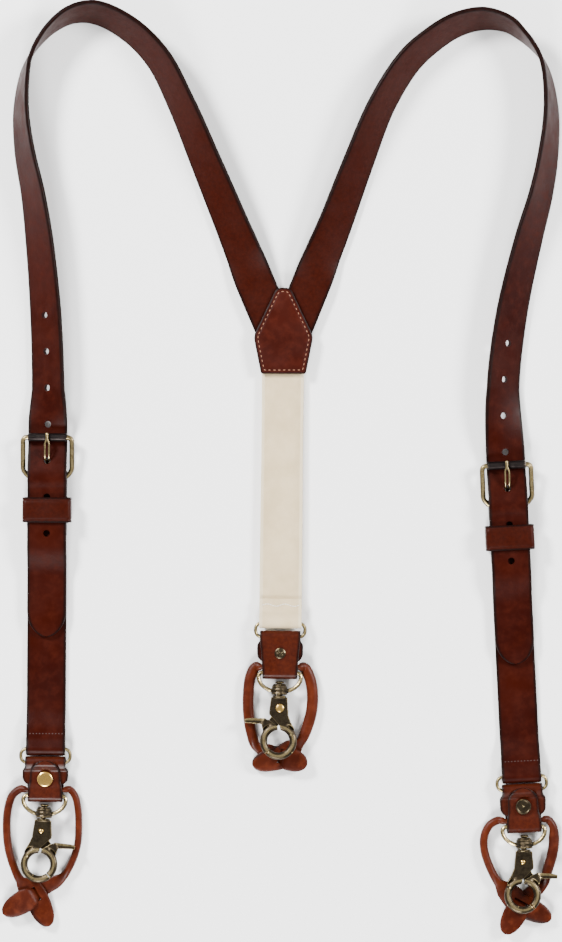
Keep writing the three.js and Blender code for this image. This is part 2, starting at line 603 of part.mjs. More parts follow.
// ---------------------------------------------------------------- swivel trigger hook, from its eye bar's middle
const hookEye = () => {
  const half = (eye.width - eye.wire) / 2;
  const points = [];
  const corner = eye.corner;
  for (const [sx, start] of [[1, 0], [-1, 90]]) {
    for (let k = 0; k <= 3; k += 1) {
      const angle = radians(start + 30 * k);
      points.push(new THREE.Vector2(sx * (half - corner) + corner * Math.cos(angle), corner * (Math.sin(angle) - 1)));
    }
  }
  const steps = 12;
  for (let k = 1; k < steps; k += 1) {
    const angle = Math.PI + (Math.PI * k) / steps;
    points.push(new THREE.Vector2(half * Math.cos(angle), -corner + (eye.drop - corner) * Math.sin(angle)));
  }
  const { radius, top, bottom, bore } = hub;
  const barrel = lathe([
    [0, -bottom], [radius - 0.3, -bottom], [radius, -bottom + 0.6], [radius, -top - 2.4], [radius - 1.1, -top], [0, -top],
  ]);
  const hole = cylinder(bore, 40, 12).translate(0, -bottom, 0);
  return cut(join(wireLoop(points, eye.wire), barrel), hole);
};

const ringHole = (thickness) => cylinder(jaw.inner, thickness * 3, 24).rotateX(Math.PI / 2).translate(0, jaw.y, 0);
const jawArc = (from, to) => {
  const shape = new THREE.Shape();
  shape.absarc(0, jaw.y, jaw.outer, radians(from), radians(to), false);
  shape.absarc(0, jaw.y, jaw.inner - 0.2, radians(to), radians(from), true);
  return plate(shape, jaw.thickness, 0, 12);
};
const pinHole = () => cylinder(pin.radius + GAP, 20, 10).rotateX(Math.PI / 2).translate(pin.x, pin.y, 0);

const hookBody = () => {
  const half = body.topWidth / 2;
  const shoulder = plate(polygon([
    [-half, -body.top], [half, -body.top], [6.4, -25.5], [6.2, -26.8], [-0.4, -33.8], [-1.4, -37.4], [-7, -40],
    [-10.3, -38.3], [-9.8, -35.6], [-7.6, -31.4], [-6, -27],
  ]), body.thickness);
  // the slot that the gate's root works in, open to the right
  const slot = plate(polygon([
    [pin.x - gate.rootRadius - 0.6, pin.y + 1], [pin.x - 1.6, pin.y + gate.rootRadius + 0.6],
    [14, pin.y + gate.rootRadius + 0.6], [14, -37], [-2.6, -37],
  ]), 2 * gate.slotHalf);
  const headBase = stem.play - hub.top;
  const shaftLength = body.top + headBase + 1.5;
  const shaft = cylinder(stem.radius, shaftLength, 12).translate(0, headBase + 0.5 - shaftLength / 2, 0);
  const head = lathe([
    [0, headBase], [stem.headRadius, headBase], [stem.headRadius, headBase + stem.headHeight * 0.4],
    [stem.headRadius * 0.7, headBase + stem.headHeight * 0.9], [0, headBase + stem.headHeight],
  ]);
  const collarTop = -hub.bottom - stem.play;
  const collar = lathe([
    [0, collarTop - stem.collarHeight], [stem.collarRadius, collarTop - stem.collarHeight],
    [stem.collarRadius, collarTop - 0.4], [stem.collarRadius - 0.4, collarTop], [0, collarTop],
  ]);
  const fixedJaw = jawArc(100, 360 + jaw.splitAngle - 1);
  const solid = cut(join(shoulder, fixedJaw), slot, ringHole(body.thickness), pinHole());
  return join(solid, collar, shaft, head);
};

const hookGate = () => {
  const arc = jawArc(jaw.splitAngle + 1.5, 84);
  const shoulder = plate(polygon([
    [0.5, -37.2], [0.9, -34.3], [6.2, -30.4], [9.4, -29.3], [11.2, -32.6], [10, -37.5], [6.3, -39.6],
  ]), jaw.thickness);
  const aboveSplit = plate(polygon([
    [-14, -38], [0.2, -37.6], [0.5, -34.4], [6.1, -30.4], [6.3, -27], [-14, -20],
  ]), 20);
  const lever = plate(polygon([
    [8.6, -29.2], [gate.leverLength - 3, -29.4], [gate.leverLength, -30], [gate.leverLength, -32.4],
    [gate.leverLength - 3, -32.5], [10.4, -33],
  ]), gate.leverThickness);
  const rootZ = -gate.slotHalf + GAP + gate.rootThickness / 2;
  const knuckle = cylinder(gate.rootRadius, gate.rootThickness, 14).rotateX(Math.PI / 2);
  knuckle.translate(pin.x, pin.y, rootZ);
  const arm = plate(polygon([
    [pin.x - 2.2, pin.y - 1], [pin.x + 2.6, pin.y - 1], [7.2, -31.6], [1.6, -35.4], [0.4, -34],
  ]), gate.rootThickness, rootZ);
  const thick = cut(join(arc, shoulder), aboveSplit);
  return cut(join(thick, lever, knuckle, arm), ringHole(body.thickness), pinHole());
};

const gatePin = () => {
  const front = body.thickness / 2;
  const seat = -front - GAP;
  const { radius, headRadius, headHeight } = pin;
  return lathe([
    [0, seat - headHeight], [headRadius * 0.6, seat - headHeight * 0.85], [headRadius, seat - headHeight * 0.2],
    [headRadius, seat], [radius, seat], [radius, front], [0, front],
  ], 12).rotateX(Math.PI / 2).translate(pin.x, pin.y, 0);
};

const gateSpring = () => {
  const bottom = -gate.slotHalf + 2 * GAP + gate.rootThickness + spring.wire / 2;
  const count = 16;
  const points = Array.from({ length: count + 1 }, (_, k) => {
    const angle = 2 * Math.PI * spring.turns * (k / count);
    const [x, y] = [spring.radius * Math.cos(angle), spring.radius * Math.sin(angle)];
    return vec(pin.x + x, pin.y + y, bottom + (spring.rise * k) / count);
  });
  return rod(points, spring.wire, 20, 5);
};

// the hook leans a little in its hub, about the hub's middle
const hook = (name, swivelLean) => {
  const hubMiddle = -(hub.top + hub.bottom) / 2;
  const swivel = new THREE.Group();
  swivel.name = `${name}_swivel`;
  swivel.add(
    mesh(`${name}_hook_body`, hookBody(), 'antiqueBrass'),
    mesh(`${name}_hook_gate`, hookGate(), 'antiqueBrass'),
    mesh(`${name}_gate_pin`, gatePin(), 'brightBrass'),
    mesh(`${name}_gate_spring`, gateSpring(), 'springSteel'),
  );
  const leanAngle = radians(swivelLean);
  swivel.position.set(hubMiddle * Math.sin(leanAngle), hubMiddle * (1 - Math.cos(leanAngle)), 0);
  swivel.rotation.z = leanAngle;
  const group = new THREE.Group();
  group.add(mesh(`${name}_hook_eye`, hookEye(), 'antiqueBrass'), swivel);
  return group;
};

// ---------------------------------------------------------------- assemblies
const endAssembly = (name) => {
  const { foldDepth, eyeLean, swivelLean, hookX, hookTilt, flip } = ends[name];
  const group = new THREE.Group();
  group.add(
    mesh(`${name}_ring`, ringWire(), 'antiqueBrass'),
    mesh(`${name}_tab`, tabBlank(foldDepth), 'tabLeather'),
    mesh(`${name}_rivet_stud`, rivetStud(), 'antiqueBrass'),
    mesh(`${name}_rivet_cap`, rivetCap(), name === 'left' ? 'brightBrass' : 'antiqueBrass'),
    mesh(`${name}_button_loop`, buttonLoop(loopRoutes[name], foldDepth, flip !== 0), 'loopLeather'),
  );
  const held = hook(name, swivelLean);
  held.name = `${name}_hook`;
  held.position.set(hookX, eyeY(foldDepth), foldZ);
  held.rotation.set(radians(hookTilt), 0, radians(eyeLean));
  group.add(held);
  group.name = `${name}_end`;
  group.rotation.y = flip;
  return group;
};

const frontSide = (name) => {
  const { x, y, lean } = sides[name];
  const group = new THREE.Group();
  group.name = `${name}_side`;
  group.add(
    mesh(`${name}_lower_strap`, lowerStrap(), 'strapLeather'),
    mesh(`${name}_buckle_frame`, buckleFrame(), 'antiqueBrass'),
    mesh(`${name}_buckle_roller`, buckleRoller(), 'gunmetal'),
    mesh(`${name}_buckle_prong`, buckleProng(), 'antiqueBrass'),
    mesh(`${name}_keeper_loop`, keeperLoop(), 'tabLeather'),
  );
  const end = endAssembly(name);
  end.position.set(0, -lower.length, endZ.front);
  group.add(end);
  group.position.set(x, y, 0);
  group.rotation.z = radians(lean);
  return group;
};

const backSide = () => {
  const group = new THREE.Group();
  group.name = 'back_side';
  const end = endAssembly('back');
  end.position.z = endZ.back;
  group.add(mesh('elastic_band', elasticBand(), 'webbing'), end);
  group.position.set(back.x, back.y, 0);
  group.rotation.z = radians(back.lean);
  return group;
};

const innerPatchZ = yokeStrapLift + strap.thickness + GAP + patch.thickness / 2;
const outerPatch = mesh('yoke_outer_patch', patchPlate(), 'tabLeather');
outerPatch.position.set(yoke.x, yoke.y, patch.thickness / 2);
const innerPatch = mesh('yoke_inner_patch', patchPlate(), 'tabLeather');
innerPatch.position.set(yoke.x, yoke.y, innerPatchZ);

const suspenders = new THREE.Group();
suspenders.add(
  outerPatch,
  innerPatch,
  mesh('left_shoulder_strap', shoulderStrap(sides.left), 'strapLeather'),
  mesh('right_shoulder_strap', shoulderStrap(sides.right), 'strapLeather'),
  backSide(),
  frontSide('left'),
  frontSide('right'),
);

export default suspenders;
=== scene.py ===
"""Y-back leather suspenders laid flat: leathers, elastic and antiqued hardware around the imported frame.

Lengths in this script are millimetres in the frame's own axes and turn into metres when a mesh is made.
"""
import math

import bmesh
import bpy
from mathutils import Matrix, Vector


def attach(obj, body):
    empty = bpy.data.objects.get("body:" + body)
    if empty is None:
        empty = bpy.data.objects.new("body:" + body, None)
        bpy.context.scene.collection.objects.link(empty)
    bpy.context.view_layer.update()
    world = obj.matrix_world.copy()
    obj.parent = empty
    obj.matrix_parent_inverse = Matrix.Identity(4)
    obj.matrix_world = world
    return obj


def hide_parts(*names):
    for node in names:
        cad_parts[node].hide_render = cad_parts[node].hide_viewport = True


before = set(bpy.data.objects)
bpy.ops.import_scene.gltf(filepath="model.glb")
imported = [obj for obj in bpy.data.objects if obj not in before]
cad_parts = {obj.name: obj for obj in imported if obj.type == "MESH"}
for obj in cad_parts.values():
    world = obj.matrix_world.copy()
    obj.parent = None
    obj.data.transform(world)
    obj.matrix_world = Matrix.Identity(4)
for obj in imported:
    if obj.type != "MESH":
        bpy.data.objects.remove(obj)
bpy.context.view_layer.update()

MM = 0.001
SHARP_ANGLE = math.radians(42)
LEATHER_SHADE = 0.82

# ---------------------------------------------------------------- sizes that the frame was built to
GAP = 0.3
STRAP_WIDTH, STRAP_THICKNESS, STRAP_HOLE, HOLE_PITCH = 25, 2.8, 4.4, 23.2
HOLES_ABOVE, HOLES_BELOW, STRAP_POINT, TIP_REACH = 4, 2, 17, 102
LOWER_WIDTH, LOWER_THICKNESS, LOWER_LENGTH, LOWER_FLAP, RING_FLAP = 25, 2.4, 178, 37, 13
ELASTIC_WIDTH, ELASTIC_THICKNESS, ELASTIC_FLAP, RING_CLEARANCE = 27, 1.6, 15.5, 0.6
PATCH_THICKNESS, PATCH_HEIGHT, PATCH_TOP = 1.8, 55, 7.6
PATCH_SHOULDER, PATCH_DROP, PATCH_BOTTOM = 38.2, 31, 28.6
YOKE_X, YOKE_Y, SEAT_DEPTH = 2, 62, 16.5
BUCKLE_WIRE, BUCKLE_SIDE, BUCKLE_REACH, BUCKLE_RISE, BUCKLE_CORNER = 3.2, 1.5, 25.3, 4.1, 3
ROLLER_DIAMETER, PRONG_WIRE, PRONG_OVERHANG, PIERCE_Y, PIERCE_SLOPE = 5.2, 2.2, 3, 10.5, 1.5
KEEPER_WALL, KEEPER_HEIGHT, KEEPER_Y, KEEPER_SIDE = 1.8, 16, -21, 1.2
RING_WIRE, RING_WIDTH, RING_HEIGHT, RING_CORNER = 2.2, 33.8, 11, 4
TAB_THICKNESS, TAB_NECK, TAB_BELL, TAB_TONGUE, TAB_FOLD = 2, 25.6, 29.4, 19.4, 22.6
RIVET_SHAFT, RIVET_CAP, RIVET_CAP_HEIGHT, RIVET_BACK, RIVET_BACK_HEIGHT, RIVET_Y = 3, 10, 1.6, 7, 0.8, -14.7
EYE_WIRE, EYE_PLAY = 3, 0.4
CORD_DIAMETER, CORD_SQUEEZED = 5.2, 3
LEAF_WIDTH, LEAF_NECK, LEAF_THICKNESS = 14.5, 9, 2
HUB_TOP, HUB_BOTTOM = 7.2, 14.2
JAW_Y, JAW_OUTER, JAW_INNER = -43.8, 11.7, 7.2
PIN_X, PIN_Y, PIN_RADIUS, PIN_HEAD, PIN_HEAD_HEIGHT = -0.5, -22.7, 1.1, 2.7, 0.8
BODY_THICKNESS = 5.6
FRONT_Z, BACK_Z = 4.7, 6.1
FOLD_SLACK = 0.5
CUT_REACH = 60

STRAP_HALF = STRAP_THICKNESS / 2
LOWER_HALF = LOWER_THICKNESS / 2
FLAP_Z = KEEPER_WALL + GAP + LOWER_HALF
UPPER_LAYER_Z = FLAP_Z + LOWER_THICKNESS + GAP
HEEL_WRAP = BUCKLE_WIRE / 2 + GAP + LOWER_HALF
HEEL_Z = HEEL_WRAP + LOWER_HALF
OVER_HEEL_Z = HEEL_Z + HEEL_WRAP + LOWER_HALF + GAP + STRAP_HALF + 0.2
STACKED_Z = UPPER_LAYER_Z + LOWER_HALF + GAP + STRAP_HALF
ROLLER_Z = HEEL_Z + BUCKLE_RISE
UNDER_ROLLER_Z = ROLLER_Z - ROLLER_DIAMETER / 2 - GAP - STRAP_HALF
YOKE_STRAP_LIFT = PATCH_THICKNESS + GAP
FLAT_END = -LOWER_FLAP - 5
SETTLED = FLAT_END - 22
BUCKLE_START = BUCKLE_REACH + 6
BAR_Y = (RING_HEIGHT - RING_WIRE) / 2
TAB_WRAP = RING_WIRE / 2 + GAP + 0.05 + TAB_THICKNESS / 2
STRIP_Z = -TAB_WRAP
BELL_Z = STRIP_Z + TAB_THICKNESS + GAP
TONGUE_Z = BELL_Z + TAB_THICKNESS + GAP
FOLD_INNER = max(EYE_WIRE, CORD_SQUEEZED) / 2 + GAP
FOLD_RADIUS = FOLD_INNER + TAB_THICKNESS / 2
FOLD_Z = STRIP_Z + FOLD_RADIUS
CAP_GAP = GAP + 0.2
FRAME_WIDTH = STRAP_WIDTH + 2 * BUCKLE_SIDE + BUCKLE_WIRE

# each point: x, y and the strap's roll; 0 lies grain down, 90 stands on edge, 180 lies grain up
LEFT_ROUTE = [
    (3, 76, 0), (-15.5, 119, 0), (-23, 138, 24), (-31, 157.5, 33), (-47, 196, 42), (-63, 234, 50),
    (-78, 263, 54), (-97, 282, 58), (-118, 292, 63), (-133, 290.5, 74), (-145.5, 282.5, 84),
    (-155, 271.5, 92), (-160, 262, 98), (-163, 251, 105), (-165, 230, 113), (-163, 205, 120),
    (-157.5, 176.5, 127), (-153.5, 147, 135), (-149.5, 100, 143), (-148, 52, 147),
]
RIGHT_ROUTE = [
    (2, 76, 0), (19.5, 119, 0), (27, 138, 24), (35, 157.5, 33), (49.5, 196, 42), (65, 234, 50),
    (82, 261, 54), (96, 274, 57), (112, 284, 60), (129, 288, 65), (145, 284.5, 76), (153.5, 278, 84),
    (160, 271.5, 90), (166, 263, 97), (170, 251, 104), (172.5, 228, 113), (170.5, 201, 121),
    (166, 176.5, 127), (158, 147, 135), (147.5, 100, 143), (142, 52, 147),
]
SIDES = {
    "left": {"x": -148.7, "y": -3.8, "lean": -0.4, "route": LEFT_ROUTE, "handed": 1},
    "right": {"x": 145.4, "y": -21.5, "lean": 2.85, "route": RIGHT_ROUTE, "handed": -1},
}
BACK = {"x": 0, "y": -101.5, "lean": -0.6}
# in each end's own frame, from its ring's middle; leaf A carries the slit that leaf B comes through
LOOPS = {
    "left": {
        "left": [(-16, -21.6), (-21, -25.5), (-24, -35), (-24.6, -48), (-23.3, -60), (-20, -71),
                 (-16, -79.5)],
        "right": [(15.5, -21.6), (19, -26), (21, -35), (21.4, -45), (20.8, -56.5), (17.3, -68),
                  (11.5, -77.5)],
        "knot": (-6.5, -89), "tipA": (3.2, -109), "tipB": (-26.5, -101), "seams": (),
    },
    "right": {
        "left": [(-16, -23.2), (-21.5, -25.8), (-25.6, -33), (-25.9, -42), (-22.7, -53.5), (-18, -63)],
        "right": [(15.5, -24.2), (18.8, -29), (19.6, -38), (17.8, -47.5), (14.4, -57), (11.2, -65)],
        "knot": (-5, -77.5), "tipA": (14.5, -88), "tipB": (-16, -95.5), "seams": ("right",),
    },
    "back": {
        "left": [(-15.5, -24), (-19, -30), (-21, -40), (-20.5, -52), (-17.5, -63), (-13, -72)],
        "right": [(15.5, -24), (18.6, -30), (20, -41), (19.6, -55), (17.5, -66.5), (14, -75)],
        "knot": (-2.5, -81), "tipA": (17, -86.5), "tipB": (-18, -86), "seams": ("left", "right"),
    },
}
ENDS = {
    "left": {"fold": 29.6, "eye_lean": -1.3, "swivel_lean": -3.4, "hook_x": -0.4, "tilt": -6, "flip": 0},
    "right": {"fold": 31.8, "eye_lean": -1.3, "swivel_lean": -3.6, "hook_x": -0.3, "tilt": -6, "flip": 0},
    "back": {"fold": 31.4, "eye_lean": 0.6, "swivel_lean": 0, "hook_x": 0, "tilt": 6, "flip": 180},
}
# each cord's girth, the width of the stitched flange on its inner side, and where along it the flange starts
CORDS = {
    "left": {"left": (5.2, 0, 0), "right": (4.6, 0, 0)},
    "right": {"left": (5.2, 0, 0), "right": (5.2, 1.6, 0.34)},
    "back": {"left": (6.2, 1.1, 0.14), "right": (6.2, 0.9, 0.14)},
}
ROOT = "webbing_and_straps"


# ---------------------------------------------------------------- camera, light and floor
def make_camera():
    """Straight above, with the long side of the view holding the part's height."""
    distance, view_height, view_x, view_y = 2.2, 0.6029, 0.00045, 0.0
    data = bpy.data.cameras.new("camera")
    camera = bpy.data.objects.new("camera", data)
    bpy.context.scene.collection.objects.link(camera)
    camera.location = (view_x, view_y, distance)
    data.sensor_fit = "VERTICAL"
    data.sensor_height = data.sensor_width = 36
    data.lens = 36 * distance / view_height
    data.clip_end = 20
    bpy.context.scene.camera = camera


def area_light(name, place, size, power):
    """A round soft light aimed at the middle of the part; places and sizes in metres."""
    data = bpy.data.lights.new(name, "AREA")
    data.shape, data.size, data.energy = "DISK", size, power
    light = bpy.data.objects.new(name, data)
    light.location = place
    light.rotation_euler = (-Vector(place)).to_track_quat("-Z", "Y").to_euler()
    bpy.context.scene.collection.objects.link(light)


def make_stage():
    """A pale floor just under the part, an even grey-white surround and three soft lights."""
    material = bpy.data.materials.new("floor")
    material.use_nodes = True
    shader = material.node_tree.nodes["Principled BSDF"]
    shader.inputs["Base Color"].default_value = (0.95, 0.95, 0.95, 1)
    shader.inputs["Roughness"].default_value = 0.9
    shader.inputs["Specular IOR Level"].default_value = 0.1
    half, below = 6, 0.0006
    corners = [(-half, -half, 0), (half, -half, 0), (half, half, 0), (-half, half, 0)]
    data = bpy.data.meshes.new("floor")
    data.from_pydata(corners, [], [(0, 1, 2, 3)])
    data.materials.append(material)
    floor = bpy.data.objects.new("floor", data)
    floor.location.z = -below
    bpy.context.scene.collection.objects.link(floor)
    world = bpy.data.worlds.new("studio")
    world.use_nodes = True
    surround = world.node_tree.nodes["Background"]
    surround.inputs["Color"].default_value = (1, 1, 1, 1)
    surround.inputs["Strength"].default_value = 0.52
    bpy.context.scene.world = world
    area_light("key", (-1.2, 1.1, 1.3), 0.5, 104)
    area_light("fill", (1.4, 0.5, 1.15), 0.6, 65)
    area_light("low", (-0.3, -1.5, 1.05), 0.6, 58)


# ---------------------------------------------------------------- materials
class Look:
    """A node material whose pattern is worked out from the surface's own place."""

    def __init__(self, name, **constants):
        self.material = bpy.data.materials.new(name)
        self.material.use_nodes = True
        self.tree = self.material.node_tree
        self.shader = self.tree.nodes["Principled BSDF"]
        for key, value in constants.items():
            self.shader.inputs[key.replace("_", " ")].default_value = value
        self.place = self.node("ShaderNodeTexCoord").outputs["Object"]

    def node(self, kind, **settings):
        made = self.tree.nodes.new(kind)
        for key, value in settings.items():
            setattr(made, key, value)
        return made

    def link(self, source, target):
        if hasattr(source, "default_value") or hasattr(source, "is_linked"):
            self.tree.links.new(source, target)
        else:
            target.default_value = source

    def noise(self, size, detail=3.0, rough=0.55):
        """Noise whose lumps are about size millimetres."""
        made = self.node("ShaderNodeTexNoise")
        made.inputs["Scale"].default_value = 1 / (size * MM)
        made.inputs["Detail"].default_value = detail
        made.inputs["Roughness"].default_value = rough
        self.link(self.place, made.inputs["Vector"])
        return made.outputs["Fac"]

    def cells(self, size):
        made = self.node("ShaderNodeTexVoronoi", feature="SMOOTH_F1")
        made.inputs["Scale"].default_value = 1 / (size * MM)
        self.link(self.place, made.inputs["Vector"])
        return made.outputs["Distance"]

    def attribute(self, name):
        return self.node("ShaderNodeAttribute", attribute_name=name)

    def math(self, operation, a, b=0.0, c=0.0):
        made = self.node("ShaderNodeMath", operation=operation)
        for value, socket in zip((a, b, c), made.inputs):
            self.link(value, socket)
        return made.outputs[0]

    def span(self, value, low, high, to_low=0.0, to_high=1.0):
        made = self.node("ShaderNodeMapRange")
        for socket, given in zip(made.inputs, (value, low, high, to_low, to_high)):
            self.link(given, socket)
        return made.outputs[0]

    def mix(self, share, first, second, blend="MIX"):
        made = self.node("ShaderNodeMix", data_type="RGBA", blend_type=blend)
        self.link(share, made.inputs["Factor"])
        for value, socket in ((first, made.inputs["A"]), (second, made.inputs["B"])):
            self.link((*value, 1) if isinstance(value, tuple) else value, socket)
        return made.outputs["Result"]

    def bump(self, height, strength, depth, before=None):
        made = self.node("ShaderNodeBump")
        made.inputs["Strength"].default_value = strength
        made.inputs["Distance"].default_value = depth * MM
        self.link(height, made.inputs["Height"])
        if before:
            self.link(before, made.inputs["Normal"])
        return made.outputs["Normal"]

    def finish(self, colour, roughness, normal):
        for name, value in {"Base Color": colour, "Roughness": roughness, "Normal": normal}.items():
            self.link(value, self.shader.inputs[name])
        return self.material


def shaded(tone):
    """A leather's colour, taken down by the one shade that all the leathers share."""
    return tuple(LEATHER_SHADE * part for part in tone)


def leather(name, deep, middle, bright, burnish_and_shade, flesh=None, grain=0.22, rough=(0.34, 0.52), specular=0.11):
    """Oiled full-grain leather: mottled colour, fine grain and pores, darker burnished edges; the same dark
    colour paints shade on the cords' sunk flanges.
    """
    look = Look(name, Specular_IOR_Level=specular)
    deep, middle, bright, burnish_and_shade = (shaded(tone) for tone in (deep, middle, bright, burnish_and_shade))
    cloud = look.noise(38, 2)
    mottle = look.noise(5.5, 4, 0.6)
    colour = look.mix(look.span(cloud, 0.34, 0.66), deep, middle)
    colour = look.mix(look.span(mottle, 0.45, 0.75, 0, 0.6), colour, bright)
    if flesh:
        layer = look.node("ShaderNodeSeparateXYZ")
        look.link(look.attribute("lay").outputs["Vector"], layer.inputs[0])
        fibre = look.mix(look.span(look.noise(2.2, 5, 0.7), 0.35, 0.65), shaded(flesh[0]), shaded(flesh[1]))
        colour = look.mix(look.span(layer.outputs["Z"], 0.2, 0.6), colour, fibre)
    # rim marks the burnished edges and also the cords' sunk flanges, where the dark mix is painted shade
    rim = look.attribute("rim").outputs["Fac"]
    scuffs = look.noise(3.2, 5, 0.7)
    wear_and_painted_light = look.math("MULTIPLY", rim, look.span(scuffs, 0.35, 0.6, 0.72, 1.0))
    colour = look.mix(wear_and_painted_light, colour, burnish_and_shade)
    wrinkles = look.cells(0.85)
    pores = look.noise(0.32, 2)
    waves = look.noise(9, 3)
    normal = look.bump(waves, 0.18, 0.9)
    normal = look.bump(wrinkles, grain, 0.16, normal)
    normal = look.bump(pores, grain * 0.7, 0.08, normal)
    roughness = look.span(look.noise(11, 4, 0.6), 0.3, 0.7, *rough)
    return look.finish(colour, roughness, normal)


def metal(name, hollow, body, wear_and_painted_light, rough=(0.28, 0.5), patina=0.5, brushed=0.05):
    """Plated metal with dark hollows, a patchy body, edges rubbed bright and a highlight painted along its
    crowns.
    """
    look = Look(name, Metallic=1.0)
    patch = look.noise(4.2, 4, 0.65)
    speck = look.noise(0.7, 3, 0.6)
    colour = look.mix(look.span(patch, 0.5 - patina * 0.3, 0.5 + patina * 0.3), hollow, body)
    colour = look.mix(look.span(speck, 0.52, 0.72, 0, 0.55), colour, hollow)
    point = look.node("ShaderNodeNewGeometry").outputs["Pointiness"]
    edge = look.span(look.math("ADD", point, look.span(speck, 0, 1, -0.015, 0.015)), 0.52, 0.58)
    # the rim value paints a highlight along the crowns of wires and cast pieces; pointiness stands for the
    # rubbed edges
    crown = look.attribute("rim").outputs["Fac"]
    crown = look.math("MULTIPLY", crown, look.span(patch, 0.38, 0.55, 0.35, 1.0))
    wear_and_highlight = look.math("MAXIMUM", look.math("MULTIPLY", edge, 0.75), crown)
    colour = look.mix(wear_and_highlight, colour, wear_and_painted_light)
    normal = look.bump(look.noise(0.9, 3), brushed, 0.1)
    roughness = look.span(wear_and_highlight, 0, 1, look.span(patch, 0.3, 0.7, rough[1], rough[0]), 0.24)
    return look.finish(colour, roughness, normal)


def elastic_webbing():
    """Cream woven elastic: rows across, cords along, and a plain selvedge at each side."""
    row_pitch, cord_pitch = 0.55, 0.9
    edge_start, edge_end = ELASTIC_WIDTH / 2 - 2.3, ELASTIC_WIDTH / 2 - 1.7
    look = Look("elastic_webbing", Sheen_Weight=0.25, Sheen_Roughness=0.5, Specular_IOR_Level=0.25)
    lay = look.node("ShaderNodeSeparateXYZ")
    look.link(look.attribute("lay").outputs["Vector"], lay.inputs[0])
    across, along = lay.outputs["X"], lay.outputs["Y"]
    rows = look.math("SINE", look.math("MULTIPLY", along, 2 * math.pi / row_pitch))
    cords = look.math("SINE", look.math("MULTIPLY", across, 2 * math.pi / cord_pitch))
    height = look.math("MULTIPLY", look.math("MULTIPLY", rows, 0.5), look.math("ADD", cords, 1.6))
    wear = look.noise(14, 3)
    colour = look.mix(look.span(wear, 0.35, 0.65), (0.53, 0.41, 0.235), (0.61, 0.485, 0.29))
    # painted shade: the weave's low parts are darkened, and its crests are lightened a little as a painted
    # highlight
    painted_groove_shade = look.span(height, -1.3, 1.3, 0.82, 1.04)
    tone = look.node("ShaderNodeCombineColor")
    for socket in tone.inputs[:3]:
        look.link(painted_groove_shade, socket)
    colour = look.mix(1.0, colour, tone.outputs[0], "MULTIPLY")
    edge = look.span(look.math("ABSOLUTE", across), edge_start, edge_end)
    colour = look.mix(look.math("MULTIPLY", edge, 0.5), colour, (0.66, 0.57, 0.41))
    fuzz = look.noise(0.25, 2)
    normal = look.bump(height, 0.5, 0.08)
    normal = look.bump(fuzz, 0.2, 0.05, normal)
    return look.finish(colour, 0.85, normal)


def thread(name, colour):
    look = Look(name, Sheen_Weight=0.2)
    twist = look.noise(0.35, 2)
    # painted shade: the low parts of the twist are darkened toward the dark colour
    dark = tuple(0.6 * c for c in colour)
    painted_groove_shade = look.mix(look.span(twist, 0.35, 0.65), dark, colour)
    return look.finish(painted_groove_shade, 0.7, look.bump(twist, 0.4, 0.06))


STRAP_LEATHER = leather(
    "strap_leather", (0.017, 0.0014, 0.0004), (0.025, 0.0024, 0.0005), (0.038, 0.0044, 0.0010),
    (0.005, 0.0011, 0.0007), flesh=((0.020, 0.0024, 0.0008), (0.030, 0.0038, 0.0012)), specular=0.06,
)
YOKE_LEATHER = leather(
    "yoke_leather", (0.022, 0.0019, 0.0004), (0.034, 0.0031, 0.0006), (0.052, 0.0058, 0.0012),
    (0.005, 0.0012, 0.0007),
)
TAB_LEATHER = leather(
    "tab_leather", (0.017, 0.0016, 0.0005), (0.032, 0.0034, 0.0009), (0.070, 0.0100, 0.0030),
    (0.006, 0.0013, 0.0009), flesh=((0.030, 0.0042, 0.0014), (0.050, 0.0080, 0.0026)), rough=(0.26, 0.40),
)
LOOP_LEATHER = leather(
    "loop_leather", (0.036, 0.0046, 0.0011), (0.060, 0.0088, 0.0021), (0.110, 0.020, 0.0056),
    (0.012, 0.0022, 0.0009), rough=(0.3, 0.46), grain=0.3,
)
BRASS = metal("antique_brass", (0.016, 0.012, 0.008), (0.066, 0.050, 0.030), (0.52, 0.40, 0.19))
BRIGHT_BRASS = metal(
    "bright_brass", (0.50, 0.29, 0.07), (0.78, 0.52, 0.16), (0.95, 0.74, 0.32), (0.2, 0.34), 0.8,
)
GUNMETAL = metal("gunmetal", (0.010, 0.008, 0.008), (0.026, 0.021, 0.020), (0.24, 0.20, 0.16), (0.38, 0.55))
SPRING_STEEL = metal("spring_steel", (0.22, 0.22, 0.21), (0.42, 0.42, 0.41), (0.7, 0.7, 0.68))
ELASTIC = elastic_webbing()
TAN_THREAD = thread("tan_thread", (0.24, 0.095, 0.042))
DARK_THREAD = thread("dark_thread", (0.026, 0.007, 0.004))
CREAM_THREAD = thread("cream_thread", (0.86, 0.82, 0.72))


# ---------------------------------------------------------------- curves and meshes
def mix(a, b, share):
    return a + (b - a) * share


def smooth(share):
    share = min(max(share, 0.0), 1.0)
    return share * share * (3 - 2 * share)


def eased(table, position):
    """A value read off a falling list of (position, value), level beyond its ends and eased between."""
    if position >= table[0][0]:
        return table[0][1]
    for (start, a), (end, b) in zip(table, table[1:]):
        if position >= end:
            return mix(a, b, smooth((start - position) / (start - end)))
    return table[-1][1]


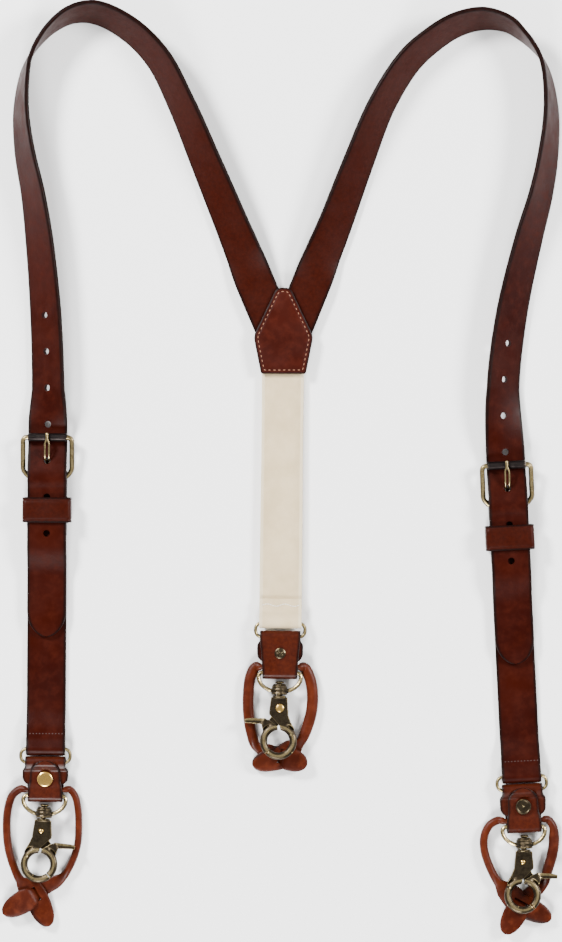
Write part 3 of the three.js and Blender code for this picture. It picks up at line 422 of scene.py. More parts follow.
class Curve:
    """A smooth centripetal curve through points of any dimension, measured along its first parts."""

    def __init__(self, points, measured=3, steps=16):
        self.points = [Vector(p) for p in points]
        self.measured = measured
        self.samples = []
        self.lengths = [0.0]
        count = len(self.points) - 1
        for k in range(count * steps + 1):
            self.samples.append(self.value(k / steps))
            if k:
                step = self.samples[-1] - self.samples[-2]
                self.lengths.append(self.lengths[-1] + Vector(step[:measured]).length)
        self.steps = steps
        self.length = self.lengths[-1]

    def value(self, place):
        """The point at a place counted in points."""
        pts = self.points
        i = min(int(place), len(pts) - 2)
        t = place - i
        p1, p2 = pts[i], pts[i + 1]
        p0 = pts[i - 1] if i else p1 * 2 - p2
        p3 = pts[i + 2] if i + 2 < len(pts) else p2 * 2 - p1
        pairs = ((p0, p1), (p1, p2), (p2, p3))
        d0, d1, d2 = (max(Vector((b - a)[: self.measured]).length, 1e-4) ** 0.5 for a, b in pairs)
        t1 = ((p1 - p0) / d0 - (p2 - p0) / (d0 + d1) + (p2 - p1) / d1) * d1
        t2 = ((p2 - p1) / d1 - (p3 - p1) / (d1 + d2) + (p3 - p2) / d2) * d1
        square, cube = t * t, t * t * t
        return p1 + t1 * t + (p1 * -3 + p2 * 3 - t1 * 2 - t2) * square + (p1 * 2 - p2 * 2 + t1 + t2) * cube

    def place(self, distance):
        """The place, counted in points, at a distance along the curve."""
        distance = min(max(distance, 0.0), self.length)
        low, high = 0, len(self.lengths) - 1
        while high - low > 1:
            middle = (low + high) // 2
            if self.lengths[middle] <= distance:
                low = middle
            else:
                high = middle
        span = self.lengths[high] - self.lengths[low]
        return (low + (distance - self.lengths[low]) / max(span, 1e-9)) / self.steps

    def at(self, distance):
        return self.value(self.place(distance))

    def direction(self, distance, reach=0.4):
        step = self.at(distance + reach) - self.at(distance - reach)
        return Vector(step[:3]).normalized()


class Station:
    """One place along a swept piece: its middle, its two directions, its size and the distance run."""

    def __init__(self, at, across, normal, width, height, run=0.0):
        self.at, self.across, self.normal = at, across, normal
        self.width, self.height, self.run = width, height, run


def band(width, height, edge, groove=None):
    """A flat band's outline with rounded edges: (across, up, rim) points."""
    half, thick = width / 2, height / 2
    edge = min(edge, half * 0.9)
    turns, bluntness = 8, 0.75
    arc = []
    for k in range(turns + 1):
        angle = math.pi * (k / turns - 0.5)
        reach = math.cos(angle) ** bluntness if math.cos(angle) > 1e-6 else 0.0
        rise = math.copysign(abs(math.sin(angle)) ** bluntness, angle)
        arc.append((half - edge + edge * reach, thick * rise, 1.0))
    row = []
    if groove:
        side, depth = 0.35, 0.28
        for offset, drop in ((groove - side, 0), (groove, depth), (groove + side, 0)):
            row.append((half - offset, thick - drop, 0.0))
    else:
        row.append((half - edge - min(1.3, half * 0.3), thick, 0.15))
    row += [(half * 0.45, thick, 0.0), (0.0, thick, 0.0)]
    top = row + [(-x, z, r) for x, z, r in reversed(row[:-1])]
    far = [(-x, z, r) for x, z, r in reversed(arc)]
    bottom = [(-x, -z, r) for x, z, r in top]
    return arc + top + far + bottom


def rolled(width, height, flat, count):
    """A round outline that flattens toward a band as flat goes to 1."""
    power = mix(1.0, 0.42, flat)
    points = []
    for k in range(count):
        angle = 2 * math.pi * (k + 0.5) / count
        c, s = math.cos(angle), math.sin(angle)
        x = width / 2 * math.copysign(abs(c) ** power, c)
        z = height / 2 * math.copysign(abs(s) ** power, s)
        points.append((x, z, flat * smooth((abs(c) - 0.93) / 0.06)))
    return points


def new_object(name, points, faces, rim=None, lay=None):
    """A mesh object from points in millimetres; rim and lay become attributes that the materials read."""
    data = bpy.data.meshes.new(name)
    data.from_pydata([Vector(p) * MM for p in points], [], faces)
    if rim:
        data.attributes.new("rim", "FLOAT", "POINT").data.foreach_set("value", rim)
    if lay:
        flat = [value for item in lay for value in item]
        data.attributes.new("lay", "FLOAT_VECTOR", "POINT").data.foreach_set("vector", flat)
    solid = bmesh.new()
    solid.from_mesh(data)
    bmesh.ops.recalc_face_normals(solid, faces=solid.faces)
    solid.to_mesh(data)
    solid.free()
    data.polygons.foreach_set("use_smooth", [True] * len(data.polygons))
    made = bpy.data.objects.new(name, data)
    bpy.context.scene.collection.objects.link(made)
    return made


def quads(rows, count, closed=False):
    """Faces between rows of points, each row a closed ring; closed joins the last row to the first."""
    faces = []
    for i in range(rows if closed else rows - 1):
        here, there = i * count, (i + 1) % rows * count
        for j in range(count):
            k = (j + 1) % count
            faces.append([here + j, here + k, there + k, there + j])
    return faces


def sweep(stations, outline, closed=False):
    """Points and faces of an outline carried along stations, ready for new_object."""
    points, rim, lay = [], [], []
    for s in stations:
        for x, z, r in outline(s):
            points.append(s.at + s.across * x + s.normal * z)
            rim.append(r)
            lay.append((x, s.run, 1.0 if z > 0 else -1.0))
    count = len(points) // len(stations)
    faces = quads(len(stations), count, closed)
    if not closed:
        last = (len(stations) - 1) * count
        faces.append(list(range(count)))
        faces.append(list(range(last + count - 1, last - 1, -1)))
    return points, faces, rim, lay


def gathered(*parts):
    """Several swept parts as the pieces of one mesh."""
    points, faces, rim, lay = [], [], [], []
    for part_points, part_faces, part_rim, part_lay in parts:
        base = len(points)
        points += part_points
        faces += [[base + n for n in face] for face in part_faces]
        rim += part_rim
        lay += part_lay
    return points, faces, rim, lay


def placed(part, matrix):
    points, faces, rim, lay = part
    return [matrix @ Vector(p) for p in points], faces, rim, lay


def softened(stations, radius):
    """The stations with both ends drawn in to a rounded edge."""
    for end, step in ((0, 1), (-1, -1)):
        first, second = stations[end], stations[end + step]
        inward = (second.at - first.at).normalized()
        extra = []
        for share in (0.0, 0.3, 0.65):
            place = first.at + inward * radius * share
            scale = math.sqrt(max(1 - (1 - share) ** 2 * 0.8, 0.05))
            extra.append(Station(place, first.across, first.normal, first.width - 1.2 * radius * (1 - scale),
                                 first.height * scale, first.run))
        far = [s for s in stations if s is not first]
        stations = extra + far if step == 1 else far + extra[::-1]
    return stations


def folded(path, thickness, step):
    """Stations of a band folded in the YZ plane; each point of its middle line: y, z, width."""
    curve = Curve([(0, y, z, width) for y, z, width in path], 3, 10)
    count = max(int(curve.length / step), 8)
    stations = []
    for k in range(count + 1):
        run = curve.length * k / count
        value = curve.at(run)
        along = curve.direction(run)
        normal = Vector((0, -along.z, along.y))
        stations.append(Station(Vector(value[:3]), Vector((1, 0, 0)), normal, value[3], thickness, run))
    return stations


def arc(y, z, radius, start, end, width, steps):
    """Path points round a bar, between two angles."""
    turned = [math.radians(mix(start, end, k / steps)) for k in range(steps + 1)]
    return [(y + radius * math.cos(a), z + radius * math.sin(a), width) for a in turned]


def loop_stations(outline, diameter):
    """Stations of a closed wire along an outline of (x, y) points."""
    stations, run = [], 0.0
    for i, (x, y) in enumerate(outline):
        before, after = outline[i - 1], outline[(i + 1) % len(outline)]
        along = Vector((after[0] - before[0], after[1] - before[1], 0)).normalized()
        run += (Vector((x, y)) - Vector(before)).length
        stations.append(Station(Vector((x, y, 0)), Vector((along.y, -along.x, 0)), Vector((0, 0, 1)),
                                diameter, diameter, run))
    return stations


def rounded_rectangle(width, height, radius, corner_steps, side_steps):
    """Points round a rectangle with round corners, close enough together for a sweep."""
    points = []
    corners = [(1, 1, 0), (-1, 1, 90), (-1, -1, 180), (1, -1, 270)]
    for sx, sy, start in corners:
        for k in range(corner_steps + 1):
            angle = math.radians(start + 90 * k / corner_steps)
            x = sx * (width / 2 - radius) + radius * math.cos(angle)
            points.append((x, sy * (height / 2 - radius) + radius * math.sin(angle)))
    full = []
    for i, point in enumerate(points):
        after = points[(i + 1) % len(points)]
        full.append(point)
        if i % (corner_steps + 1) == corner_steps:
            full += [(mix(point[0], after[0], k / side_steps), mix(point[1], after[1], k / side_steps))
                     for k in range(1, side_steps)]
    return full


def wire(section_count):
    """A round wire's outline with a highlight painted along its crown."""
    # how strongly the crown is painted bright as a highlight
    wear_and_highlight = 0.9

    def outline(s):
        round_points = rolled(s.width, s.height, 0.0, section_count)
        return [(x, z, wear_and_highlight * smooth((abs(z) * 2 / s.height - 0.76) / 0.22)) for x, z, _ in round_points]
    return outline


def turned(profile, segments):
    """A closed turned body about +Z from (radius, z) points that start and end on the axis."""
    points, faces = [], []
    rings = []
    for r, z in profile:
        if r < 1e-6:
            rings.append([len(points)])
            points.append(Vector((0, 0, z)))
        else:
            rings.append(list(range(len(points), len(points) + segments)))
            angles = [2 * math.pi * k / segments for k in range(segments)]
            points += [Vector((r * math.cos(a), r * math.sin(a), z)) for a in angles]
    for a, b in zip(rings, rings[1:]):
        for k in range(segments):
            n = (k + 1) % segments
            face = [a[k % len(a)], a[n % len(a)], b[n % len(b)], b[k % len(b)]]
            kept = list(dict.fromkeys(face))
            if len(kept) > 2:
                faces.append(kept)
    return points, faces, [0.0] * len(points), [(0, 0, 0)] * len(points)


def rounded_corner(before, corner, after, cut, steps):
    """Points of the soft bend that stands for a corner, cut back by a distance along both sides."""
    p, q = corner + (before - corner).normalized() * cut, corner + (after - corner).normalized() * cut
    shares = [k / steps for k in range(steps + 1)]
    return [p * (1 - t) ** 2 + corner * 2 * t * (1 - t) + q * t * t for t in shares]


def rounded_profile(points, radius):
    """The profile with all corners but its two ends rounded."""
    out = [points[0]]
    for before, corner, after in zip(points, points[1:], points[2:]):
        a, b, c = Vector(before), Vector(corner), Vector(after)
        cut = min(radius, (a - b).length * 0.45, (c - b).length * 0.45)
        out += [tuple(p) for p in rounded_corner(a, b, c, cut, 4)]
    return out + [points[-1]]


def modified(piece):
    """The piece with its modifiers applied."""
    graph = bpy.context.evaluated_depsgraph_get()
    solved = piece.evaluated_get(graph)
    data = bpy.data.meshes.new_from_object(solved, preserve_all_data_layers=True, depsgraph=graph)
    piece.modifiers.clear()
    piece.data = data
    return piece


def cut_by(piece, *tools):
    """The piece with each tool taken out of it."""
    for tool in tools:
        cutter = piece.modifiers.new("cut", "BOOLEAN")
        cutter.operation, cutter.solver, cutter.object = "DIFFERENCE", "EXACT", tool
    modified(piece)
    for tool in tools:
        bpy.data.objects.remove(tool)
    piece.data.set_sharp_from_angle(angle=SHARP_ANGLE)
    return piece


def dressed(piece, material, body, slot, *nodes):
    """The finished piece: one material, its body and the frame nodes that it stands for; slot is not used."""
    piece.data.materials.clear()
    piece.data.materials.append(material)
    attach(piece, body)
    if nodes:
        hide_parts(*nodes)
    return piece


def finished(name, part, matrix, *dress):
    """A part set in place as a piece and dressed."""
    return dressed(new_object(name, *placed(part, matrix)), *dress)


def stitches(name, spots, material, body, slot, length, thickness):
    """A row of threads as one piece; each spot is a middle, the thread's direction and the way up."""
    rings, around = 7, 8
    points, faces = [], []
    for middle, along, up in spots:
        across = along.cross(up).normalized()
        base = len(points)
        for i in range(rings):
            share = i / (rings - 1)
            swell = math.sqrt(max(1 - (2 * share - 1) ** 2, 0.0)) * 0.85 + 0.05
            dip = -0.5 * thickness * (2 * share - 1) ** 2
            centre = middle + along * (share - 0.5) * length + up * dip
            for k in range(around):
                angle = 2 * math.pi * k / around
                radial = across * math.cos(angle) + up * math.sin(angle) * 0.8
                points.append(centre + radial * swell * thickness / 2)
        faces += [[base + n for n in face] for face in quads(rings, around)]
        faces.append([base + k for k in range(around)])
        faces.append([base + (rings - 1) * around + k for k in reversed(range(around))])
    return dressed(new_object(name, points, faces), material, body, slot)


# ---------------------------------------------------------------- where things stand
def turn(axis, degrees):
    return Matrix.Rotation(math.radians(degrees), 4, axis)


def side_matrix(name):
    side = SIDES[name]
    return Matrix.Translation((side["x"], side["y"], 0)) @ turn("Z", side["lean"])


BACK_MATRIX = Matrix.Translation((BACK["x"], BACK["y"], 0)) @ turn("Z", BACK["lean"])


def end_matrix(name):
    flip = turn("Y", ENDS[name]["flip"])
    if name == "back":
        return BACK_MATRIX @ Matrix.Translation((0, 0, BACK_Z)) @ flip
    return side_matrix(name) @ Matrix.Translation((0, -LOWER_LENGTH, FRONT_Z)) @ flip


def eye_y(name):
    return TAB_THICKNESS + GAP + EYE_PLAY + EYE_WIRE / 2 - ENDS[name]["fold"]


def cord_y(name):
    return eye_y(name) + (EYE_WIRE + CORD_SQUEEZED) / 2 + GAP + EYE_PLAY


def hook_matrix(name):
    end = ENDS[name]
    place = Matrix.Translation((end["hook_x"], eye_y(name), FOLD_Z))
    return end_matrix(name) @ place @ turn("X", end["tilt"]) @ turn("Z", end["eye_lean"])


def swivel_matrix(name):
    lean = ENDS[name]["swivel_lean"]
    middle = -(HUB_TOP + HUB_BOTTOM) / 2
    angle = math.radians(lean)
    place = Matrix.Translation((middle * math.sin(angle), middle * (1 - math.cos(angle)), 0))
    return hook_matrix(name) @ place @ turn("Z", lean)


# ---------------------------------------------------------------- shoulder straps
BUCKLED_HEIGHTS = [
    (BUCKLE_REACH + 2, UNDER_ROLLER_Z), (BUCKLE_REACH - 2, UNDER_ROLLER_Z), (0.5, OVER_HEEL_Z),
    (-1.5, OVER_HEEL_Z), (-9, STACKED_Z), (FLAT_END, STACKED_Z),
    (SETTLED, LOWER_THICKNESS + GAP + STRAP_HALF),
]


class StrapLine:
    """A shoulder strap's middle line, from the yoke over the shoulder and down through the buckle."""

    def __init__(self, side):
        lean = math.radians(side["lean"])
        self.side, self.lean = side, lean
        points = [(x, y, roll, YOKE_STRAP_LIFT if roll == 0 else 0) for x, y, roll in side["route"]]
        for reach in (BUCKLE_START, BUCKLE_REACH - 4, 12, 0, -24, FLAT_END, SETTLED, -82, -TIP_REACH):
            x, y = side["x"] - reach * math.sin(lean), side["y"] + reach * math.cos(lean)
            points.append((x, y, 180, UNDER_ROLLER_Z - STRAP_HALF))
        self.rolls = [(p[2], p[3]) for p in points]
        self.curve = Curve([(p[0], p[1], 0, 0) for p in points], 2)
        self.length = self.curve.length

    def run(self, above_heel):
        """The distance from the strap's start at a distance above the heel bar."""
        return self.length - TIP_REACH - above_heel

    def station(self, run, width=STRAP_WIDTH):
        place = self.curve.place(run)
        i = min(int(place), len(self.rolls) - 2)
        (roll_a, lift_a), (roll_b, lift_b) = self.rolls[i], self.rolls[i + 1]
        roll = math.radians(mix(roll_a, roll_b, place - i))
        at = Vector(self.curve.value(place)[:3])
        along = self.curve.direction(run)
        away = (at.y - self.side["y"]) * math.cos(self.lean) - (at.x - self.side["x"]) * math.sin(self.lean)
        if away < BUCKLE_START and roll_a == 180:
            lift = eased(BUCKLED_HEIGHTS, away) - STRAP_HALF
        else:
            lift = mix(lift_a, lift_b, place - i)
        outward = Vector((along.y, -along.x, 0)) * self.side["handed"]
        across = outward * math.cos(roll) + Vector((0, 0, math.sin(roll)))
        normal = outward * -math.sin(roll) + Vector((0, 0, math.cos(roll)))
        at.z = lift + STRAP_WIDTH / 2 * math.sin(roll) + STRAP_HALF * abs(math.cos(roll))
        return Station(at, across, normal, width, STRAP_THICKNESS, run)


def straight_tool(radius, length, middle, direction):
    """A round punch through a place, along a direction."""
    profile = [(0, -length / 2), (radius, -length / 2), (radius, length / 2), (0, length / 2)]
    matrix = Matrix.Translation(middle) @ direction.to_track_quat("Z", "Y").to_matrix().to_4x4()
    points, faces, _, _ = placed(turned(profile, 28), matrix)
    return new_object("tool", points, faces)


def box_tool(low, high):
    corners = [(x, y, z) for z in (low[2], high[2]) for y in (low[1], high[1]) for x in (low[0], high[0])]
    faces = [(0, 1, 3, 2), (4, 6, 7, 5), (0, 4, 5, 1), (2, 3, 7, 6), (0, 2, 6, 4), (1, 5, 7, 3)]
    return new_object("tool", corners, faces)


def shoulder_strap(name):
    """The strap with its round point and holes, cut back at the yoke's middle line and the elastic's seat."""
    line = StrapLine(SIDES[name])
    step = 2.2
    point_run = line.run(STRAP_POINT - TIP_REACH)
    count = int(point_run / step)
    stations = [line.station(point_run * k / count) for k in range(count + 1)]
    # the point stops just short of nothing, so that its last outline is still a face
    point_steps, last_share = 16, 0.998
    for k in range(1, point_steps + 1):
        share = math.sin(math.pi / 2 * k / point_steps) * last_share
        width = STRAP_WIDTH * math.sqrt(1 - share * share)
        stations.append(line.station(point_run + STRAP_POINT * share, width))
    part = sweep(stations, lambda s: band(s.width, s.height, 1.0))
    strap = new_object(f"{name}_shoulder_strap_leather", *part)
    tools = []
    for k in range(-HOLES_BELOW, HOLES_ABOVE + 1):
        spot = line.station(line.run(PIERCE_Y + k * HOLE_PITCH))
        tools.append(straight_tool(STRAP_HOLE / 2, STRAP_THICKNESS * 3, spot.at, spot.normal))
    handed = SIDES[name]["handed"]
    near, far = sorted((YOKE_X - handed * GAP / 2, YOKE_X + handed * CUT_REACH))
    below, above, deep = 40, 80, 15
    tools.append(box_tool((near, YOKE_Y - below, -deep), (far, YOKE_Y + above, deep)))
    seat = YOKE_Y + SEAT_DEPTH + GAP
    tools.append(box_tool((YOKE_X - CUT_REACH, seat - CUT_REACH, -deep), (YOKE_X + CUT_REACH, seat, deep)))
    cut_by(strap, *tools)
    return dressed(strap, STRAP_LEATHER, ROOT, "strap_leather", f"{name}_shoulder_strap")


# ---------------------------------------------------------------- yoke
def rounded_outline(corners, radii, steps=7):
    """The outline with each corner rounded by its own radius."""
    out = []
    for i, corner in enumerate(corners):
        a, b, c = Vector(corners[i - 1]), Vector(corner), Vector(corners[(i + 1) % len(corners)])
        out += rounded_corner(a, b, c, radii[i], steps)
    return out


def drawn_in(corners, distance):
    """The polygon with every side moved inward by a distance."""
    out = []
    for i, corner in enumerate(corners):
        a, b, c = Vector(corners[i - 1]), Vector(corner), Vector(corners[(i + 1) % len(corners)])
        before, after = (b - a).normalized(), (c - b).normalized()
        inward = Vector((-before.y - after.y, before.x + after.x)).normalized()
        out.append(b + inward * distance / inward.dot(Vector((-before.y, before.x))))
    return out


def yoke_patch(name, low, up):
    """A stitched five-sided patch, its edge rolled and its seam sunk a little."""
    half = PATCH_THICKNESS / 2
    top = PATCH_TOP / 2 + 0.6
    corners = [(PATCH_BOTTOM / 2, 0), (PATCH_SHOULDER / 2, PATCH_HEIGHT - PATCH_DROP), (top, PATCH_HEIGHT),
               (-top, PATCH_HEIGHT), (-PATCH_SHOULDER / 2, PATCH_HEIGHT - PATCH_DROP), (-PATCH_BOTTOM / 2, 0)]
    radii = (1.6, 3.2, 3.4, 3.4, 3.2, 1.6)
    seam_inset, seam_pitch = 2.45, 3.1
    # distance in from the edge, height as a share of half the thickness, and how burnished it is
    levels = [(2.4, -1, 0), (0.6, -1, 0.5), (0.15, -0.75, 1), (0, -0.35, 1), (0, 0.3, 1), (0.12, 0.66, 1),
              (0.4, 0.9, 1), (0.9, 1, 0.6), (1.5, 1, 0), (2.0, 0.98, 0), (seam_inset, 0.72, 0.35),
              (2.9, 0.98, 0), (3.6, 1.04, 0), (4.8, 1.08, 0)]
    points, rim, lay = [], [], []
    for inset, height, edge in levels:
        share = max(1 - inset / 6, 0.1)
        outline = rounded_outline(drawn_in(corners, inset), [r * share for r in radii])
        for p in outline:
            points.append(Vector((p.x + YOKE_X, p.y + YOKE_Y, low + half + up * half * height)))
            rim.append(edge)
            lay.append((p.x, p.y, -1.0))
    count = len(outline)
    faces = quads(len(levels), count)
    faces.append(list(range(count)))
    faces.append([(len(levels) - 1) * count + k for k in range(count)])
    patch = new_object(f"yoke_{name}_leather", points, faces, rim, lay)
    dressed(patch, YOKE_LEATHER, ROOT, "tab_leather", f"yoke_{name}_patch")
    seam = rounded_outline(drawn_in(corners, seam_inset), [r * 0.6 for r in radii], 3)
    surface = low + half + up * half * 0.86
    line = [Vector((p.x + YOKE_X, p.y + YOKE_Y, surface)) for p in seam]
    total = Curve(line + [line[0]], 3, 6)
    number = round(total.length / seam_pitch)
    spots = []
    for k in range(number):
        run = total.length * (k + 0.5) / number
        spots.append((Vector(total.at(run)[:3]), total.direction(run), Vector((0, 0, up))))
    stitches(f"yoke_{name}_stitches", spots, TAN_THREAD, ROOT, "tab_leather", 2.0, 0.62)


# ---------------------------------------------------------------- elastic back band
def elastic_band():
    """The back webbing, from its seat in the yoke to the fold sewn round the back ring."""
    wrap = RING_WIRE / 2 + RING_CLEARANCE + ELASTIC_THICKNESS / 2
    top_z = YOKE_STRAP_LIFT + ELASTIC_THICKNESS / 2
    back_z = BACK_Z - wrap
    top = YOKE_Y + SEAT_DEPTH - BACK["y"]
    w = ELASTIC_WIDTH
    over = back_z + ELASTIC_THICKNESS + GAP
    path = [(top, top_z, w), (top - SEAT_DEPTH - 4, top_z, w - 0.2),
            (top - SEAT_DEPTH - 50, (top_z + back_z) / 2, w - 0.5), (60, mix(top_z, back_z, 0.8), w),
            (20, back_z, w)]
    path += arc(BAR_Y, BACK_Z, wrap, 270, 90, w, 12)
    path += [(BAR_Y + 3, BACK_Z + wrap * 0.75, w), (BAR_Y + 6.5, over + 0.1, w),
             (BAR_Y + ELASTIC_FLAP, over, w)]
    stations = softened(folded(path, ELASTIC_THICKNESS, 0.9), 0.5)
    part = sweep(stations, lambda s: band(s.width, s.height, 0.6, groove=2.0))
    webbing = new_object("elastic_band_webbing", *placed(part, BACK_MATRIX))
    dressed(webbing, ELASTIC, ROOT, "elastic_webbing", "elastic_band")
    seam_y, wave, waves = BAR_Y + ELASTIC_FLAP - 4, 0.7, 0.55
    spots, number = [], 15
    for k in range(number):
        x = mix(-w / 2 + 2.4, w / 2 - 2.4, k / (number - 1))
        y = seam_y + wave * math.sin(x * waves)
        slope = wave * waves * math.cos(x * waves)
        place = BACK_MATRIX @ Vector((x, y, over + ELASTIC_THICKNESS / 2))
        spots.append((place, (BACK_MATRIX.to_3x3() @ Vector((1, slope, 0))).normalized(), Vector((0, 0, 1))))
    stitches("elastic_seam", spots, CREAM_THREAD, ROOT, "elastic_webbing", 1.75, 0.7)


# ---------------------------------------------------------------- buckled front sides
def lower_strap(name):
    """The strap folded round the heel bar and the ring, slotted for the prong and sewn at the ring."""
    ring_wrap = RING_WIRE / 2 + GAP + LOWER_HALF
    bar = BAR_Y - LOWER_LENGTH
    flap_z = FRONT_Z - ring_wrap
    over = flap_z + LOWER_THICKNESS + GAP
    w = LOWER_WIDTH
    path = [(-LOWER_FLAP, FLAP_Z, w), (-24, FLAP_Z, w), (-11, FLAP_Z, w), (-5, HEEL_Z - HEEL_WRAP + 0.5, w)]
    path += arc(0, HEEL_Z, HEEL_WRAP, -90, 90, w, 12)
    path += [(-4, HEEL_Z + HEEL_WRAP - 0.4, w), (-9, UPPER_LAYER_Z, w)]
    for share in (0, 0.2, 0.4, 0.6, 0.8, 1):
        y = mix(FLAT_END, SETTLED, share)
        path.append((y, eased([(FLAT_END, UPPER_LAYER_Z), (SETTLED, LOWER_HALF)], y), w))
    path += [(bar + RING_FLAP + 40, LOWER_HALF, w), (bar + RING_FLAP + 12, LOWER_HALF, w),
             (bar + RING_FLAP, over, w), (bar + 6, over + 0.2, w)]
    path += arc(bar, FRONT_Z, ring_wrap, 90, 270, w, 12)
    path += [(bar + RING_FLAP, flap_z, w)]
    path = [(y - FOLD_SLACK * smooth((bar - y) / ring_wrap), z, w) for y, z, w in path]
    stations = softened(folded(path, LOWER_THICKNESS, 0.8), 0.8)
    part = sweep(stations, lambda s: band(s.width, s.height, 0.9))
    matrix = side_matrix(name)
    strap = new_object(f"{name}_lower_strap_leather", *placed(part, matrix))
    slot_half = PRONG_WIRE / 2 + 0.6
    reach = HEEL_WRAP + LOWER_THICKNESS
    tool = box_tool((-slot_half, -reach, HEEL_Z - 2 * reach), (slot_half, reach, HEEL_Z + 2 * reach))
    tool.data.transform(Matrix.Translation(matrix.translation * MM) @ turn("Z", SIDES[name]["lean"]))
    cut_by(strap, tool)
    dressed(strap, STRAP_LEATHER, ROOT, "strap_leather", f"{name}_lower_strap")
    seam_y = bar + RING_FLAP - 3.2
    surface = over + LOWER_HALF
    spots, number, pitch, zig = [], 11, 2.05, 0.35
    for k in range(number):
        x = -w / 2 + 2.6 + k * pitch
        along = (matrix.to_3x3() @ Vector((1, -zig if k % 2 else zig, 0))).normalized()
        spots.append((matrix @ Vector((x, seam_y, surface)), along, Vector((0, 0, 1))))
    stitches(f"{name}_ring_seam", spots, DARK_THREAD, ROOT, "strap_leather", 1.9, 0.75)


def buckle_frame(name):
    """Bent wire: square shoulders at the roller, clipped corners at the heel bar."""
    length = math.hypot(BUCKLE_RISE, BUCKLE_REACH)
    half = FRAME_WIDTH / 2
    clip_x, clip_y, heel_bend, roller_bend, spacing = 3.6, 4.4, 1.8, 3.2, 1.2
    heel = [(-half, clip_y), (-half + clip_x, 0)]
    corners = [(half - clip_x, 0), (half, clip_y), (half, length), (-half, length), *heel]
    outline = rounded_outline(corners, (heel_bend,) * 2 + (roller_bend,) * 2 + (heel_bend,) * 2, 8)
    dense = []
    for i, point in enumerate(outline):
        after = outline[(i + 1) % len(outline)]
        parts = max(int((after - point).length / spacing), 1)
        dense += [point.lerp(after, k / parts) for k in range(parts)]
    stations = loop_stations([tuple(p) for p in dense], BUCKLE_WIRE)
    slope = math.degrees(math.atan2(BUCKLE_RISE, BUCKLE_REACH))
    matrix = side_matrix(name) @ Matrix.Translation((0, 0, HEEL_Z)) @ turn("X", slope)
    part = sweep(stations, wire(20), True)
    finished(f"{name}_buckle_wire", part, matrix,
             BRASS, f"{name}_frame", "antique_brass", f"{name}_buckle_frame")


def buckle_roller(name):
    """A rolled sheet sleeve with its seam and turned-in rims."""
    half = FRAME_WIDTH / 2 - BUCKLE_CORNER - GAP
    inner, outer = BUCKLE_WIRE / 2 + GAP, ROLLER_DIAMETER / 2
    around, rows, seam_column, seam_depth = 48, 26, 11, 0.28
    points = []
    profile = [(inner, -half), (inner + 0.4, -half), (outer - 0.35, -half), (outer, -half + 0.35)]
    profile += [(outer, mix(-half + 0.8, half - 0.8, k / rows)) for k in range(rows + 1)]
    profile += [(outer, half - 0.35), (outer - 0.35, half), (inner, half)]
    for r, x in profile:
        for k in range(around):
            angle = 2 * math.pi * k / around
            seam = seam_depth if k == seam_column and r > inner + 0.3 else 0.0
            points.append(Vector((x, (r - seam) * math.cos(angle), (r - seam) * math.sin(angle))))
    matrix = side_matrix(name) @ Matrix.Translation((0, BUCKLE_REACH, ROLLER_Z))
    faces = quads(len(profile), around, True)
    piece = new_object(f"{name}_roller_sleeve", [matrix @ p for p in points], faces)
    dressed(piece, GUNMETAL, f"{name}_roller", "gunmetal", f"{name}_buckle_roller")


def buckle_prong(name):
    """A folded wire prong: knuckle round the heel bar, two open shanks that meet in a tip over the roller."""
    loop_radius = BUCKLE_WIRE / 2 + GAP + PRONG_WIRE / 2
    hole_z = eased(BUCKLED_HEIGHTS, PIERCE_Y)
    rest_z = ROLLER_Z + ROLLER_DIAMETER / 2 + GAP + PRONG_WIRE / 2
    route = Curve([
        (0, loop_radius * 0.8, HEEL_Z + loop_radius * 0.6), (0, PIERCE_Y - 4.6, hole_z - 3.1),
        (0, PIERCE_Y - 1.6, hole_z - 1.6 * PIERCE_SLOPE), (0, PIERCE_Y, hole_z),
        (0, PIERCE_Y + 1.5, hole_z + 1.5 * PIERCE_SLOPE), (0, PIERCE_Y + 5, rest_z - 0.8),
        (0, BUCKLE_REACH, rest_z), (0, BUCKLE_REACH + PRONG_OVERHANG, rest_z - 0.2),
    ])
    shanks, rows = [], 60
    for side in (-1, 1):
        stations = []
        for k in range(rows + 1):
            run = route.length * k / rows
            along = route.direction(run)
            at = Vector(route.at(run)[:3])
            spread = smooth((at.y - PIERCE_Y + 2.2) / 3.5) * smooth((BUCKLE_REACH - 0.6 - at.y) / 4)
            left_over = max(run - route.length + 1.3, 0) / 1.35
            size = PRONG_WIRE * mix(0.86, 0.62, spread) * math.sqrt(max(1 - left_over ** 2, 0.02))
            at.x = side * mix(0.1, 1.25, spread)
            stations.append(Station(at, Vector((1, 0, 0)), Vector((0, -along.z, along.y)), size, size, run))
        shanks.append(sweep(stations, wire(16)))
    knuckle = []
    turns = 32
    for k in range(turns):
        angle = 2 * math.pi * k / turns
        radial = Vector((0, math.cos(angle), math.sin(angle)))
        knuckle.append(Station(radial * loop_radius + Vector((0, 0, HEEL_Z)), Vector((1, 0, 0)), radial,
                               PRONG_WIRE, PRONG_WIRE, k))
    part = gathered(*shanks, sweep(knuckle, wire(14), True))
    finished(f"{name}_prong_wire", part, side_matrix(name),
             BRASS, f"{name}_prong", "antique_brass", f"{name}_buckle_prong")


